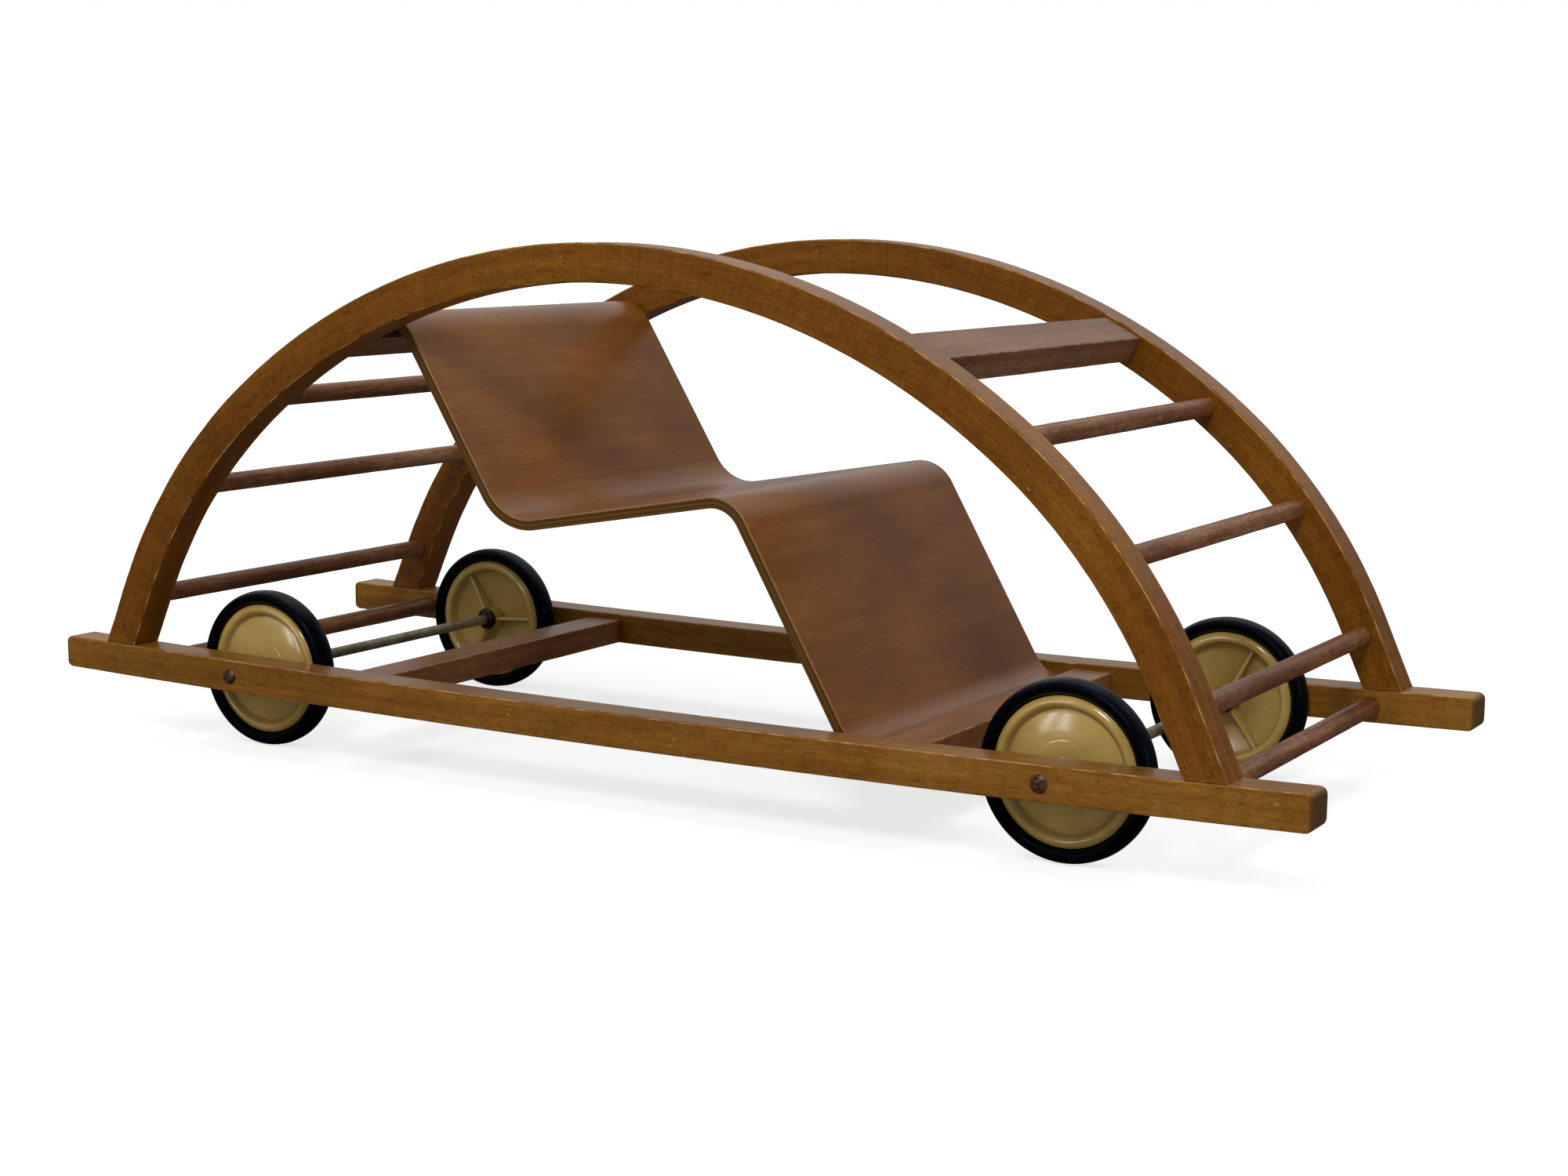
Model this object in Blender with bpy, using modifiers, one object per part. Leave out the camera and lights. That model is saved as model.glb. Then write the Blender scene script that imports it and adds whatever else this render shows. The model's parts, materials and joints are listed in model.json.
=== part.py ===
"""Rocking cart: a beech frame with a moulded plywood seat on four wheels.

Turned over, the two bent arches become rockers. Metres, +Z up, +X towards the
child's feet, +Y to the child's left. The cart stands on z = 0.
"""
import math

import bmesh
import bpy
from mathutils import Matrix, Vector

# Clearance between pieces that touch, and how deep joints go
GAP = 0.0003
BORE_DEPTH = 0.013
TENON_DEPTH = 0.012
TENON_SHOULDER = 0.004

# Frame
WIDTH = 0.367
TIMBER_THICKNESS = 0.0265
HEAD_OVERHANG = 0.0426
FOOT_OVERHANG = 0.0518

# Side rails, bent very slightly so that the middle lies lower than the ends
RAIL_HEIGHT = 0.024
RAIL_BEND_RADIUS = 22.1
RAIL_DIP = 0.00242
RAIL_CORNER = 0.005
EDGE_ROUND = 0.0016

# Arches: a crown arc, a tighter shoulder arc, then a straight leg to the rail
ARCH_RISE = 0.3257
ARCH_DEPTH = 0.0265
CROWN_RADIUS = 0.5045
CROWN_ANGLE = math.radians(39.3)
SHOULDER_RADIUS = 0.4003
SHOULDER_ANGLE = math.radians(66.1)

# Turned rungs: in the arches by their distance up from the foot, low ones from the rail's end
RUNG_DIAMETER = 0.014
RUNG_DISTANCE = {1: 0.2398, 2: 0.1413, 3: 0.0401}
LOW_RUNG_SETBACK = {"rear": 0.085, "front": 0.074}

# Flat bars and cross beams
BAR_WIDTH = 0.031
BAR_THICKNESS = 0.020
BAR_ANGLE = math.radians(28.0)
BAR_INSET = 0.0023
BEAM_THICKNESS = 0.019
BEAM_DROP = 0.0018
REAR_BEAM_CLEARANCE = 0.0295
FRONT_BEAM_CLEARANCE = 0.0382

# Moulded plywood seat, by the middle of its thickness
PLY_THICKNESS = 0.008
SEAT_SIDE_CLEARANCE = 0.006
GROOVE_INSET = 0.0043
TONGUE = 0.009
TOP_LIP = 0.0293
BACK_LENGTH = 0.1792
BACK_ANGLE = math.radians(58.5)
SEAT_ANGLE = math.radians(9.8)
APRON_ANGLE = math.radians(59.95)
BOTTOM_LIP = 0.0237
LIP_BEND = 0.027
CROOK_BEND = 0.040
KNEE_BEND = 0.026

# Axles and wheels
AXLE_SETBACK = {"rear": 0.168, "front": 0.173}
AXLE_DIAMETER = 0.008
AXLE_STUB = 0.0018
CAP_WALL = 0.0009
CAP_CROWN = 0.0011
CAP_FALL = 0.0018
TYRE_HEIGHT = 0.0104
TYRE_WIDTH = 0.0188
RIM_RADIUS = 0.0486
RIM_WIDTH = 0.015
TYRE_SEAT_DEPTH = 0.0021
FLANGE_WIDTH = 0.0025
DISC_RADIUS = 0.0400
STEP_RADIUS = 0.0205
STEP_HEIGHT = 0.0006
WEB_THICKNESS = 0.0028
HUB_RADIUS = 0.0085
HUB_OUTWARD = 0.0092
HUB_INWARD = 0.0092
RIB_THICKNESS = 0.0022
RIB_COUNT = 3
RIB_START = math.radians(-3.0)
RIB_FOOT = 0.002
NUT_RADIUS = 0.0080
NUT_LENGTH = 0.0050
NUT_COLLAR = 0.0020
SPACER_RADIUS = 0.0070
SPACER_LENGTH = 0.0072

# Depths of the wheel's mouldings below the faces of its rim
BEAD_ROUND = 0.0022
BEAD_SHOULDER = 0.0009
GROOVE_DEPTH = 0.0043
DOME_DEPTH = 0.0030
CROWN_DEPTH = 0.0005
RIB_CROWN_DEPTH = 0.0018
RIB_RIM_DEPTH = 0.0034

# Dowels that pin the arch feet to the rails
PIN_DIAMETER = 0.010
PIN_DEPTH = 0.017

ROUND_STEPS = 20
WHEEL_STEPS = 28
ARC_STEPS = 7
RAIL_STEPS = 12

# Derived places
SIDES = {"right": -1, "left": 1}
ENDS = {"rear": -1, "front": 1}
ARCH_X = (HEAD_OVERHANG - FOOT_OVERHANG) / 2
INNER_Y = WIDTH / 2 - TIMBER_THICKNESS
TIMBER_Y = WIDTH / 2 - TIMBER_THICKNESS / 2
SEAT_WIDTH = 2 * (INNER_Y - SEAT_SIDE_CLEARANCE)
TYRE_RADIUS = RIM_RADIUS + TYRE_HEIGHT
WHEEL_CENTRE_Y = INNER_Y - SPACER_LENGTH - HUB_OUTWARD - 2 * GAP


def rail_mid_z(x):
    """Height of the middle of a rail, level with the axles where they cross it."""
    return TYRE_RADIUS - RAIL_DIP + x * x / (2 * RAIL_BEND_RADIUS)


CROWN_Z = rail_mid_z(0) + ARCH_RISE - CROWN_RADIUS


def clear_scene():
    for obj in list(bpy.data.objects):
        bpy.data.objects.remove(obj)


def new_collection(name):
    collection = bpy.data.collections.new(name)
    bpy.context.scene.collection.children.link(collection)
    return collection


clear_scene()
PARTS = new_collection("rocking_cart")
CUTTERS = new_collection("cutters")


def material(name, colour, roughness, metallic=0.0):
    mat = bpy.data.materials.new(name)
    mat.use_nodes = True
    shader = mat.node_tree.nodes["Principled BSDF"]
    shader.inputs["Base Color"].default_value = (*colour, 1.0)
    shader.inputs["Roughness"].default_value = roughness
    shader.inputs["Metallic"].default_value = metallic
    return mat


BEECH = ((0.24, 0.10, 0.025), 0.42)
DARK_BEECH = ((0.15, 0.065, 0.03), 0.5)
PLYWOOD = ((0.16, 0.07, 0.03), 0.38)
STEEL = ((0.22, 0.21, 0.17), 0.45, 0.9)
BROWNED_STEEL = ((0.12, 0.08, 0.05), 0.5, 0.8)
BLACK_STEEL = ((0.02, 0.018, 0.016), 0.5, 0.4)
CREAM_PLASTIC = ((0.52, 0.40, 0.17), 0.35)
RUBBER = ((0.006, 0.008, 0.014), 0.6)


# Building blocks
def mesh_object(name, mesh, collection=PARTS):
    obj = bpy.data.objects.new(name, mesh)
    collection.objects.link(obj)
    return obj


def bmesh_object(name, bm, collection=PARTS):
    mesh = bpy.data.meshes.new(name)
    bm.to_mesh(mesh)
    bm.free()
    return mesh_object(name, mesh, collection)


def finish(obj, look):
    """Give a piece its own material and smooth its round faces."""
    obj.data.materials.clear()
    obj.data.materials.append(material(obj.name + "_finish", *look))
    obj.data.shade_smooth()
    obj.data.set_sharp_from_angle(angle=math.radians(35))
    return obj


def evaluated_mesh(obj):
    bpy.context.view_layer.update()
    depsgraph = bpy.context.evaluated_depsgraph_get()
    return bpy.data.meshes.new_from_object(obj.evaluated_get(depsgraph))


def freeze(obj):
    """Turn an object's modifiers into plain mesh."""
    mesh = evaluated_mesh(obj)
    obj.modifiers.clear()
    obj.data = mesh
    return obj


def make_cutter(obj):
    obj.hide_render = True
    obj.display_type = "WIRE"
    return obj


def outline_solid(name, points, y, thickness, collection=PARTS):
    """Extrude a flat outline of (x, z) points across the cart, centred on y."""
    curve = bpy.data.curves.new(name, "CURVE")
    curve.dimensions = "2D"
    curve.fill_mode = "BOTH"
    curve.extrude = thickness / 2
    spline = curve.splines.new("POLY")
    spline.points.add(len(points) - 1)
    for point, (x, z) in zip(spline.points, points):
        point.co = (x, z, 0, 1)
    spline.use_cyclic_u = True
    flat = bpy.data.objects.new(name + "_outline", curve)
    CUTTERS.objects.link(flat)
    flat.rotation_euler = (math.radians(90), 0, 0)
    flat.location = (0, y, 0)
    mesh = evaluated_mesh(flat)
    mesh.transform(flat.matrix_world)
    bpy.data.objects.remove(flat)
    bm = bmesh.new()
    bm.from_mesh(mesh)
    bmesh.ops.remove_doubles(bm, verts=bm.verts, dist=0.00001)
    inner_edges = [e for e in bm.edges
                   if len(e.link_faces) == 2 and all(abs(f.normal.y) > 0.999 for f in e.link_faces)]
    bmesh.ops.dissolve_edges(bm, edges=inner_edges)
    bmesh.ops.recalc_face_normals(bm, faces=bm.faces)
    bm.to_mesh(mesh)
    bm.free()
    return mesh_object(name, mesh, collection)


def round_edges(obj, width, segments=1):
    bevel = obj.modifiers.new("rounded_edges", "BEVEL")
    bevel.width = width
    bevel.segments = segments
    bevel.limit_method = "ANGLE"
    bevel.angle_limit = math.radians(40)
    return obj


def boolean(obj, cutters, operation="DIFFERENCE"):
    for cutter in cutters:
        step = obj.modifiers.new("with_" + cutter.name, "BOOLEAN")
        step.operation = operation
        step.solver = "EXACT"
        step.object = cutter
    return obj


def rod(name, radius, start, end, collection=PARTS):
    """A round rod between two points."""
    start, end = Vector(start), Vector(end)
    direction = end - start
    turn = direction.to_track_quat("Z", "Y").to_matrix().to_4x4()
    place = Matrix.Translation((start + end) / 2) @ turn
    bm = bmesh.new()
    bmesh.ops.create_cone(bm, cap_ends=True, segments=ROUND_STEPS, radius1=radius,
                          radius2=radius, depth=direction.length, matrix=place)
    return bmesh_object(name, bm, collection)


def box(name, size, place, collection=PARTS):
    bm = bmesh.new()
    bmesh.ops.create_cube(bm, size=1, matrix=place @ Matrix.Diagonal((*size, 1)))
    return bmesh_object(name, bm, collection)


def turned(name, profile, steps, closed, collection=PARTS):
    """Turn a profile of (radius, height) points round local Z."""
    mesh = bpy.data.meshes.new(name)
    count = len(profile)
    edges = [(i, i + 1) for i in range(count - 1)]
    if closed:
        edges.append((count - 1, 0))
    mesh.from_pydata([(r, 0, h) for r, h in profile], edges, [])
    obj = mesh_object(name, mesh, collection)
    screw = obj.modifiers.new("turned", "SCREW")
    screw.axis = "Z"
    screw.angle = 2 * math.pi
    screw.steps = steps
    screw.render_steps = steps
    screw.use_merge_vertices = True
    screw.merge_threshold = 0.00001
    return freeze(obj)


def arc(centre, radius, start, end, steps):
    """Points on an arc; angles run from +X towards +Z."""
    cx, cz = centre
    angles = [start + (end - start) * i / steps for i in range(steps + 1)]
    return [(cx + radius * math.cos(a), cz + radius * math.sin(a)) for a in angles]


# Side rails
def arch_leg(inset):
    """Where a leg line, inset from the arch's outer edge, starts and meets the rail top.

    Returns the start (x, z) and the foot (x, z) for the front leg, x from the arch's middle.
    """
    offset = CROWN_RADIUS - SHOULDER_RADIUS
    centre_x = offset * math.sin(CROWN_ANGLE)
    centre_z = CROWN_Z + offset * math.cos(CROWN_ANGLE)
    radius = SHOULDER_RADIUS - inset
    start_x = centre_x + radius * math.sin(SHOULDER_ANGLE)
    start_z = centre_z + radius * math.cos(SHOULDER_ANGLE)
    foot_x, foot_z = start_x, start_z
    for _ in range(20):
        foot_z = rail_mid_z(foot_x) + RAIL_HEIGHT / 2 + GAP
        foot_x = start_x + (start_z - foot_z) / math.tan(SHOULDER_ANGLE)
    return (start_x, start_z), (foot_x, foot_z)


RAIL_END_X = {"rear": ARCH_X - arch_leg(0)[1][0] - HEAD_OVERHANG,
              "front": ARCH_X + arch_leg(0)[1][0] + FOOT_OVERHANG}
AXLE_X = {end: RAIL_END_X[end] - sign * AXLE_SETBACK[end] for end, sign in ENDS.items()}
REAR_BEAM_X = AXLE_X["rear"] + TYRE_RADIUS + REAR_BEAM_CLEARANCE + BAR_WIDTH / 2
FRONT_BEAM_X = AXLE_X["front"] - TYRE_RADIUS - FRONT_BEAM_CLEARANCE - BAR_WIDTH / 2


def rail_outline():
    """A long bar, bent down to its middle, with rounded ends."""
    half = RAIL_HEIGHT / 2
    start = RAIL_END_X["rear"] + RAIL_CORNER
    length = RAIL_END_X["front"] - RAIL_END_X["rear"] - 2 * RAIL_CORNER
    run = [start + length * i / RAIL_STEPS for i in range(RAIL_STEPS + 1)]
    points = []
    for edge, order in ((1, run), (-1, run[::-1])):
        points += [(x, rail_mid_z(x) + edge * half) for x in order]
        end_x = order[-1]
        centre = (end_x, rail_mid_z(end_x) + edge * (half - RAIL_CORNER))
        first = math.pi / 2 * edge
        corner = arc(centre, RAIL_CORNER, first, first - math.pi / 2, 3)
        points += corner[1:]
        low = (end_x, rail_mid_z(end_x) - edge * (half - RAIL_CORNER))
        corner = arc(low, RAIL_CORNER, first - math.pi / 2, first - math.pi, 3)
        points += corner[:-1]
    return points


def make_rail(side):
    y = SIDES[side] * TIMBER_Y
    rail = outline_solid("rail_" + side, rail_outline(), y, TIMBER_THICKNESS)
    return round_edges(rail, EDGE_ROUND)


# Arches
def arch_edge(inset):
    """One edge of an arch, from the rear foot over the crown to the front foot."""
    offset = CROWN_RADIUS - SHOULDER_RADIUS
    up = math.pi / 2
    crown = arc((0, CROWN_Z), CROWN_RADIUS - inset, up, up - CROWN_ANGLE, 3 * ARC_STEPS // 2)
    shoulder_centre = (offset * math.sin(CROWN_ANGLE), CROWN_Z + offset * math.cos(CROWN_ANGLE))
    shoulder = arc(shoulder_centre, SHOULDER_RADIUS - inset, up - CROWN_ANGLE, up - SHOULDER_ANGLE, ARC_STEPS)
    front = crown + shoulder[1:] + [arch_leg(inset)[1]]
    rear = [(-x, z) for x, z in front[:0:-1]]
    return [(ARCH_X + x, z) for x, z in rear + front]


def make_arch(side):
    y = SIDES[side] * TIMBER_Y
    outline = arch_edge(0) + arch_edge(ARCH_DEPTH)[::-1]
    arch = outline_solid("arch_" + side, outline, y, TIMBER_THICKNESS)
    return round_edges(arch, EDGE_ROUND)


def arch_point(angle, depth):
    """A point at an angle from the crown, this deep below the outer edge."""
    offset = CROWN_RADIUS - SHOULDER_RADIUS
    away = abs(angle)
    if away <= CROWN_ANGLE:
        x = (CROWN_RADIUS - depth) * math.sin(away)
        z = CROWN_Z + (CROWN_RADIUS - depth) * math.cos(away)
    else:
        centre_x = offset * math.sin(CROWN_ANGLE)
        centre_z = offset * math.cos(CROWN_ANGLE)
        across = centre_x * math.cos(away) - centre_z * math.sin(away)
        along = centre_x * math.sin(away) + centre_z * math.cos(away)
        reach = along + math.sqrt((SHOULDER_RADIUS - depth) ** 2 - across ** 2)
        x = reach * math.sin(away)
        z = CROWN_Z + reach * math.cos(away)
    return ARCH_X + math.copysign(x, angle), z


def arch_climb(sign, distance):
    """A point on an arch's middle line, this far up it from its front or rear foot."""
    half = ARCH_DEPTH / 2
    offset = CROWN_RADIUS - SHOULDER_RADIUS
    (start_x, start_z), (foot_x, foot_z) = arch_leg(half)
    leg = math.dist((start_x, start_z), (foot_x, foot_z))
    shoulder = (SHOULDER_RADIUS - half) * (SHOULDER_ANGLE - CROWN_ANGLE)
    if distance < leg:
        x = foot_x + (start_x - foot_x) * distance / leg
        z = foot_z + (start_z - foot_z) * distance / leg
    elif distance < leg + shoulder:
        angle = SHOULDER_ANGLE - (distance - leg) / (SHOULDER_RADIUS - half)
        x = offset * math.sin(CROWN_ANGLE) + (SHOULDER_RADIUS - half) * math.sin(angle)
        z = CROWN_Z + offset * math.cos(CROWN_ANGLE) + (SHOULDER_RADIUS - half) * math.cos(angle)
    else:
        angle = CROWN_ANGLE - (distance - leg - shoulder) / (CROWN_RADIUS - half)
        x = (CROWN_RADIUS - half) * math.sin(angle)
        z = CROWN_Z + (CROWN_RADIUS - half) * math.cos(angle)
    return ARCH_X + sign * x, z


# Rungs, and the blind bores that hold their ends
def make_rungs():
    """Turned rungs by node name, with their (x, z)."""
    places = {}
    for end, sign in ENDS.items():
        for number, climb in RUNG_DISTANCE.items():
            places[f"rung_{end}_{number}"] = arch_climb(sign, climb)
        low_x = RAIL_END_X[end] - sign * LOW_RUNG_SETBACK[end]
        places[f"low_rung_{end}"] = (low_x, rail_mid_z(low_x))
    reach = INNER_Y + BORE_DEPTH - GAP
    for name, (x, z) in places.items():
        rung = rod(name, RUNG_DIAMETER / 2, (x, -reach, z), (x, reach, z))
        finish(rung, DARK_BEECH)
    return places


def bore_cutters(places, diameter, reach):
    """Rods that cut the same bores in both sides."""
    return [make_cutter(rod(name + "_bore", diameter / 2 + GAP, (x, -reach, z), (x, reach, z), CUTTERS))
            for name, (x, z) in places.items()]


# Flat bars and beams with stub tenons on both ends
def bar_place(x, z, tilt):
    return Matrix.Translation((x, 0, z)) @ Matrix.Rotation(tilt, 4, "Y")


def make_bar(name, x, z, tilt, thickness):
    """A flat bar across the cart; returns it and the cutter for its mortises."""
    length = 2 * (INNER_Y - GAP)
    place = bar_place(x, z, tilt)
    bar = box(name, (BAR_WIDTH, length, thickness), place)
    round_edges(bar, EDGE_ROUND)
    tenon = (BAR_WIDTH - 2 * TENON_SHOULDER, length + 2 * TENON_DEPTH, thickness - 2 * TENON_SHOULDER)
    core = make_cutter(box(name + "_tenons", tenon, place, CUTTERS))
    boolean(bar, [core], "UNION")
    loose = [size + 2 * GAP for size in tenon]
    mortise = make_cutter(box(name + "_mortises", loose, place, CUTTERS))
    return bar, mortise


# Seat
def seat_corners():
    """Corner points of the seat's middle line, from the top bar down to the front beam.

    The seat itself, from crook to knee, is as long as it takes to reach the beam.
    """
    face_x, face_z = arch_point(-BAR_ANGLE, BAR_INSET)
    tangent = Vector((math.cos(BAR_ANGLE), math.sin(BAR_ANGLE)))
    inward = Vector((math.sin(BAR_ANGLE), -math.cos(BAR_ANGLE)))
    depth = GROOVE_INSET + PLY_THICKNESS / 2
    mouth = Vector((face_x, face_z)) + tangent * (BAR_WIDTH / 2) + inward * depth
    corner_top = mouth + tangent * TOP_LIP
    crook = corner_top + BACK_LENGTH * Vector((math.cos(BACK_ANGLE), -math.sin(BACK_ANGLE)))
    lip_x = FRONT_BEAM_X - BAR_WIDTH / 2
    lip_z = beam_z(FRONT_BEAM_X) + BEAM_THICKNESS / 2 - depth
    corner_bottom = Vector((lip_x - BOTTOM_LIP, lip_z))
    run = 1 / math.tan(APRON_ANGLE)
    reach = corner_bottom.x - crook.x - (crook.y - lip_z) * run
    seat_length = reach / (math.cos(SEAT_ANGLE) + math.sin(SEAT_ANGLE) * run)
    knee = crook + seat_length * Vector((math.cos(SEAT_ANGLE), math.sin(SEAT_ANGLE)))
    top_end = mouth - tangent * (TONGUE - GAP)
    bottom_end = Vector((lip_x + TONGUE - GAP, lip_z))
    return [top_end, corner_top, crook, knee, corner_bottom, bottom_end]


def beam_z(x):
    return rail_mid_z(x) - BEAM_DROP


def bent_line(corners, bends, steps):
    """Round the inner corners of a line; gives points with the line's left-hand normal."""
    line = []

    def add(point, direction):
        line.append((point.copy(), Vector((-direction.y, direction.x))))

    add(corners[0], (corners[1] - corners[0]).normalized())
    for before, corner, after, bend in zip(corners, corners[1:], corners[2:], bends):
        come = (corner - before).normalized()
        go = (after - corner).normalized()
        turn = math.atan2(come.x * go.y - come.y * go.x, come.dot(go))
        cut = bend * math.tan(abs(turn) / 2)
        first = corner - come * cut
        side = math.copysign(1, turn)
        centre = first + side * bend * Vector((-come.y, come.x))
        for i in range(steps + 1):
            angle = turn * i / steps
            spin = Matrix.Rotation(angle, 2)
            add(centre + spin @ (first - centre), spin @ come)
    add(corners[-1], (corners[-1] - corners[-2]).normalized())
    return line


def seat_outline(extra, lengthen):
    """The seat's side view: its middle line thickened by the plywood and an extra skin."""
    corners = seat_corners()
    corners[0] = corners[0] + (corners[0] - corners[1]).normalized() * lengthen
    corners[-1] = corners[-1] + (corners[-1] - corners[-2]).normalized() * lengthen
    line = bent_line(corners, (LIP_BEND, CROOK_BEND, KNEE_BEND, LIP_BEND), ARC_STEPS)
    half = PLY_THICKNESS / 2 + extra
    upper = [point + normal * half for point, normal in line]
    lower = [point - normal * half for point, normal in line]
    return [tuple(point) for point in upper + lower[::-1]]


def make_seat():
    seat = outline_solid("plywood_seat", seat_outline(0, 0), 0, SEAT_WIDTH)
    finish(seat, PLYWOOD)
    groove = outline_solid("seat_groove", seat_outline(GAP, GAP), 0, SEAT_WIDTH + 2 * GAP, CUTTERS)
    return make_cutter(groove)


# Wheels
def quarter_round(inner, outer, top, fall):
    """Points of a rounded shoulder, from (inner, top) out to (outer, top - fall)."""
    steps = 3
    angles = [math.pi / 2 * i / steps for i in range(steps + 1)]
    return [(inner + (outer - inner) * math.sin(a), top - fall * (1 - math.cos(a))) for a in angles]


def wheel_profile():
    """Half section of the plastic wheel: (radius, height), height towards the rail."""
    half = RIM_WIDTH / 2
    seat = RIM_RADIUS - TYRE_SEAT_DEPTH
    flange = half - FLANGE_WIDTH
    bead_middle = (RIM_RADIUS + DISC_RADIUS) / 2
    bead_half = (RIM_RADIUS - DISC_RADIUS) / 4
    groove = half - GROOVE_DEPTH
    dome = half - DOME_DEPTH
    crown = half - CROWN_DEPTH
    step = crown - STEP_HEIGHT
    slope = STEP_HEIGHT * 2
    bore = AXLE_DIAMETER / 2 + GAP
    outer_side = [
        (bore, HUB_OUTWARD),
        (HUB_RADIUS, HUB_OUTWARD),
        (HUB_RADIUS + slope, crown),
        (STEP_RADIUS - slope, crown),
        (STEP_RADIUS + slope, step),
        ((STEP_RADIUS + DISC_RADIUS) / 2, (step * 2 + dome) / 3),
        (DISC_RADIUS - slope, dome),
        (DISC_RADIUS, groove),
        (bead_middle - bead_half, half - BEAD_SHOULDER),
        (bead_middle, half),
        (bead_middle + bead_half, half - BEAD_SHOULDER),
        (RIM_RADIUS, half - BEAD_ROUND),
    ]
    rim = [
        (RIM_RADIUS, flange),
        (seat, flange),
        (seat, -flange),
        (RIM_RADIUS, -flange),
    ]
    inner_side = [
        (RIM_RADIUS, BEAD_ROUND - half),
        (bead_middle + bead_half, BEAD_SHOULDER - half),
        (bead_middle, -half),
        (bead_middle - bead_half, BEAD_SHOULDER - half),
        (DISC_RADIUS + slope, groove - WEB_THICKNESS),
        (DISC_RADIUS - slope, groove - WEB_THICKNESS),
        (STEP_RADIUS, step - WEB_THICKNESS),
        (HUB_RADIUS, crown - WEB_THICKNESS),
        (HUB_RADIUS, -HUB_INWARD),
        (bore, -HUB_INWARD),
    ]
    return outer_side + rim + inner_side


def rib_outline():
    """A rib of the inner face: from the hub out into the rim, its back buried in the disc."""
    half = RIM_WIDTH / 2
    hub = HUB_RADIUS - RIB_FOOT
    rim = DISC_RADIUS + RIB_FOOT
    return [
        (hub, half - CROWN_DEPTH - WEB_THICKNESS / 2),
        (rim, half - GROOVE_DEPTH - WEB_THICKNESS / 2),
        (rim, RIB_RIM_DEPTH - half),
        (STEP_RADIUS, RIB_CROWN_DEPTH - half),
        (hub, RIB_CROWN_DEPTH / 2 - HUB_INWARD),
    ]


def tyre_profile():
    """Closed section of the rubber tyre, clockwise from its base."""
    half = TYRE_WIDTH / 2
    flange = RIM_WIDTH / 2 - FLANGE_WIDTH - GAP
    base = RIM_RADIUS - TYRE_SEAT_DEPTH + GAP
    lip = RIM_RADIUS + GAP
    centre = (TYRE_RADIUS + lip) / 2
    reach = TYRE_RADIUS - centre
    bulge = [(centre + reach * math.sin(a) if math.sin(a) > 0 else centre + (centre - lip) * math.sin(a),
              half * math.cos(a)) for a in [math.radians(d) for d in range(-60, 241, 30)]]
    return [(base, -flange), (base, flange), (lip, flange), *bulge, (lip, -flange)]


def wheel_mesh():
    wheel = turned("wheel_turned", wheel_profile(), WHEEL_STEPS, True, CUTTERS)
    ribs = []
    for number in range(RIB_COUNT):
        rib = outline_solid(f"rib_{number}", rib_outline(), 0, RIB_THICKNESS, CUTTERS)
        rib.data.transform(Matrix.Rotation(RIB_START + 2 * math.pi * number / RIB_COUNT, 4, "Z"))
        ribs.append(make_cutter(rib))
    boolean(wheel, ribs, "UNION")
    freeze(wheel)
    return make_cutter(wheel)


def stand_on_axle(name, source, parent, look):
    """A copy of a turned piece, lying on the axle that its parent empty marks."""
    obj = mesh_object(name, source.data.copy())
    obj.parent = parent
    return finish(obj, look)


def make_running_gear():
    """Axles with everything that is threaded on them, from the rail inwards."""
    bore = AXLE_DIAMETER / 2 + GAP
    wheel = wheel_mesh()
    tyre = make_cutter(turned("tyre_turned", tyre_profile(), WHEEL_STEPS, True, CUTTERS))
    cap_radius = bore + CAP_WALL
    cap_profile = quarter_round(0, cap_radius, AXLE_STUB + CAP_CROWN, CAP_FALL)
    cap_profile += [(cap_radius, GAP), (bore, GAP), (bore, AXLE_STUB + GAP), (0, AXLE_STUB + GAP)]
    cap = make_cutter(turned("cap_turned", cap_profile, ROUND_STEPS, False, CUTTERS))
    nut_profile = [(bore, 0), (NUT_RADIUS, 0)]
    nut_profile += quarter_round(bore, NUT_RADIUS, -NUT_LENGTH, NUT_COLLAR - NUT_LENGTH)[::-1]
    nut = make_cutter(turned("nut_turned", nut_profile, ROUND_STEPS, True, CUTTERS))
    spacer_profile = [
        (bore, SPACER_LENGTH), (SPACER_RADIUS, SPACER_LENGTH), (SPACER_RADIUS, 0), (bore, 0),
    ]
    spacer = make_cutter(turned("spacer_turned", spacer_profile, ROUND_STEPS, True, CUTTERS))

    for end in ENDS:
        x = AXLE_X[end]
        reach = WIDTH / 2 + AXLE_STUB
        axle = rod("axle_" + end, AXLE_DIAMETER / 2, (x, -reach, TYRE_RADIUS), (x, reach, TYRE_RADIUS))
        finish(axle, STEEL)
        for side, sign in SIDES.items():
            tag = f"{end}_{side}"
            threaded = {
                "axle_cap": (cap, WIDTH / 2, BROWNED_STEEL),
                "wheel": (wheel, WHEEL_CENTRE_Y, CREAM_PLASTIC),
                "tyre": (tyre, WHEEL_CENTRE_Y, RUBBER),
                "push_nut": (nut, WHEEL_CENTRE_Y - HUB_INWARD - GAP, BLACK_STEEL),
                "wheel_spacer": (spacer, WHEEL_CENTRE_Y + HUB_OUTWARD + GAP, STEEL),
            }
            for piece, (source, y, look) in threaded.items():
                place = bpy.data.objects.new(f"place_{piece}_{tag}", None)
                PARTS.objects.link(place)
                place.location = (x, sign * y, TYRE_RADIUS)
                place.rotation_euler = (math.radians(-90 * sign), 0, 0)
                stand_on_axle(f"{piece}_{tag}", source, place, look)


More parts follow.
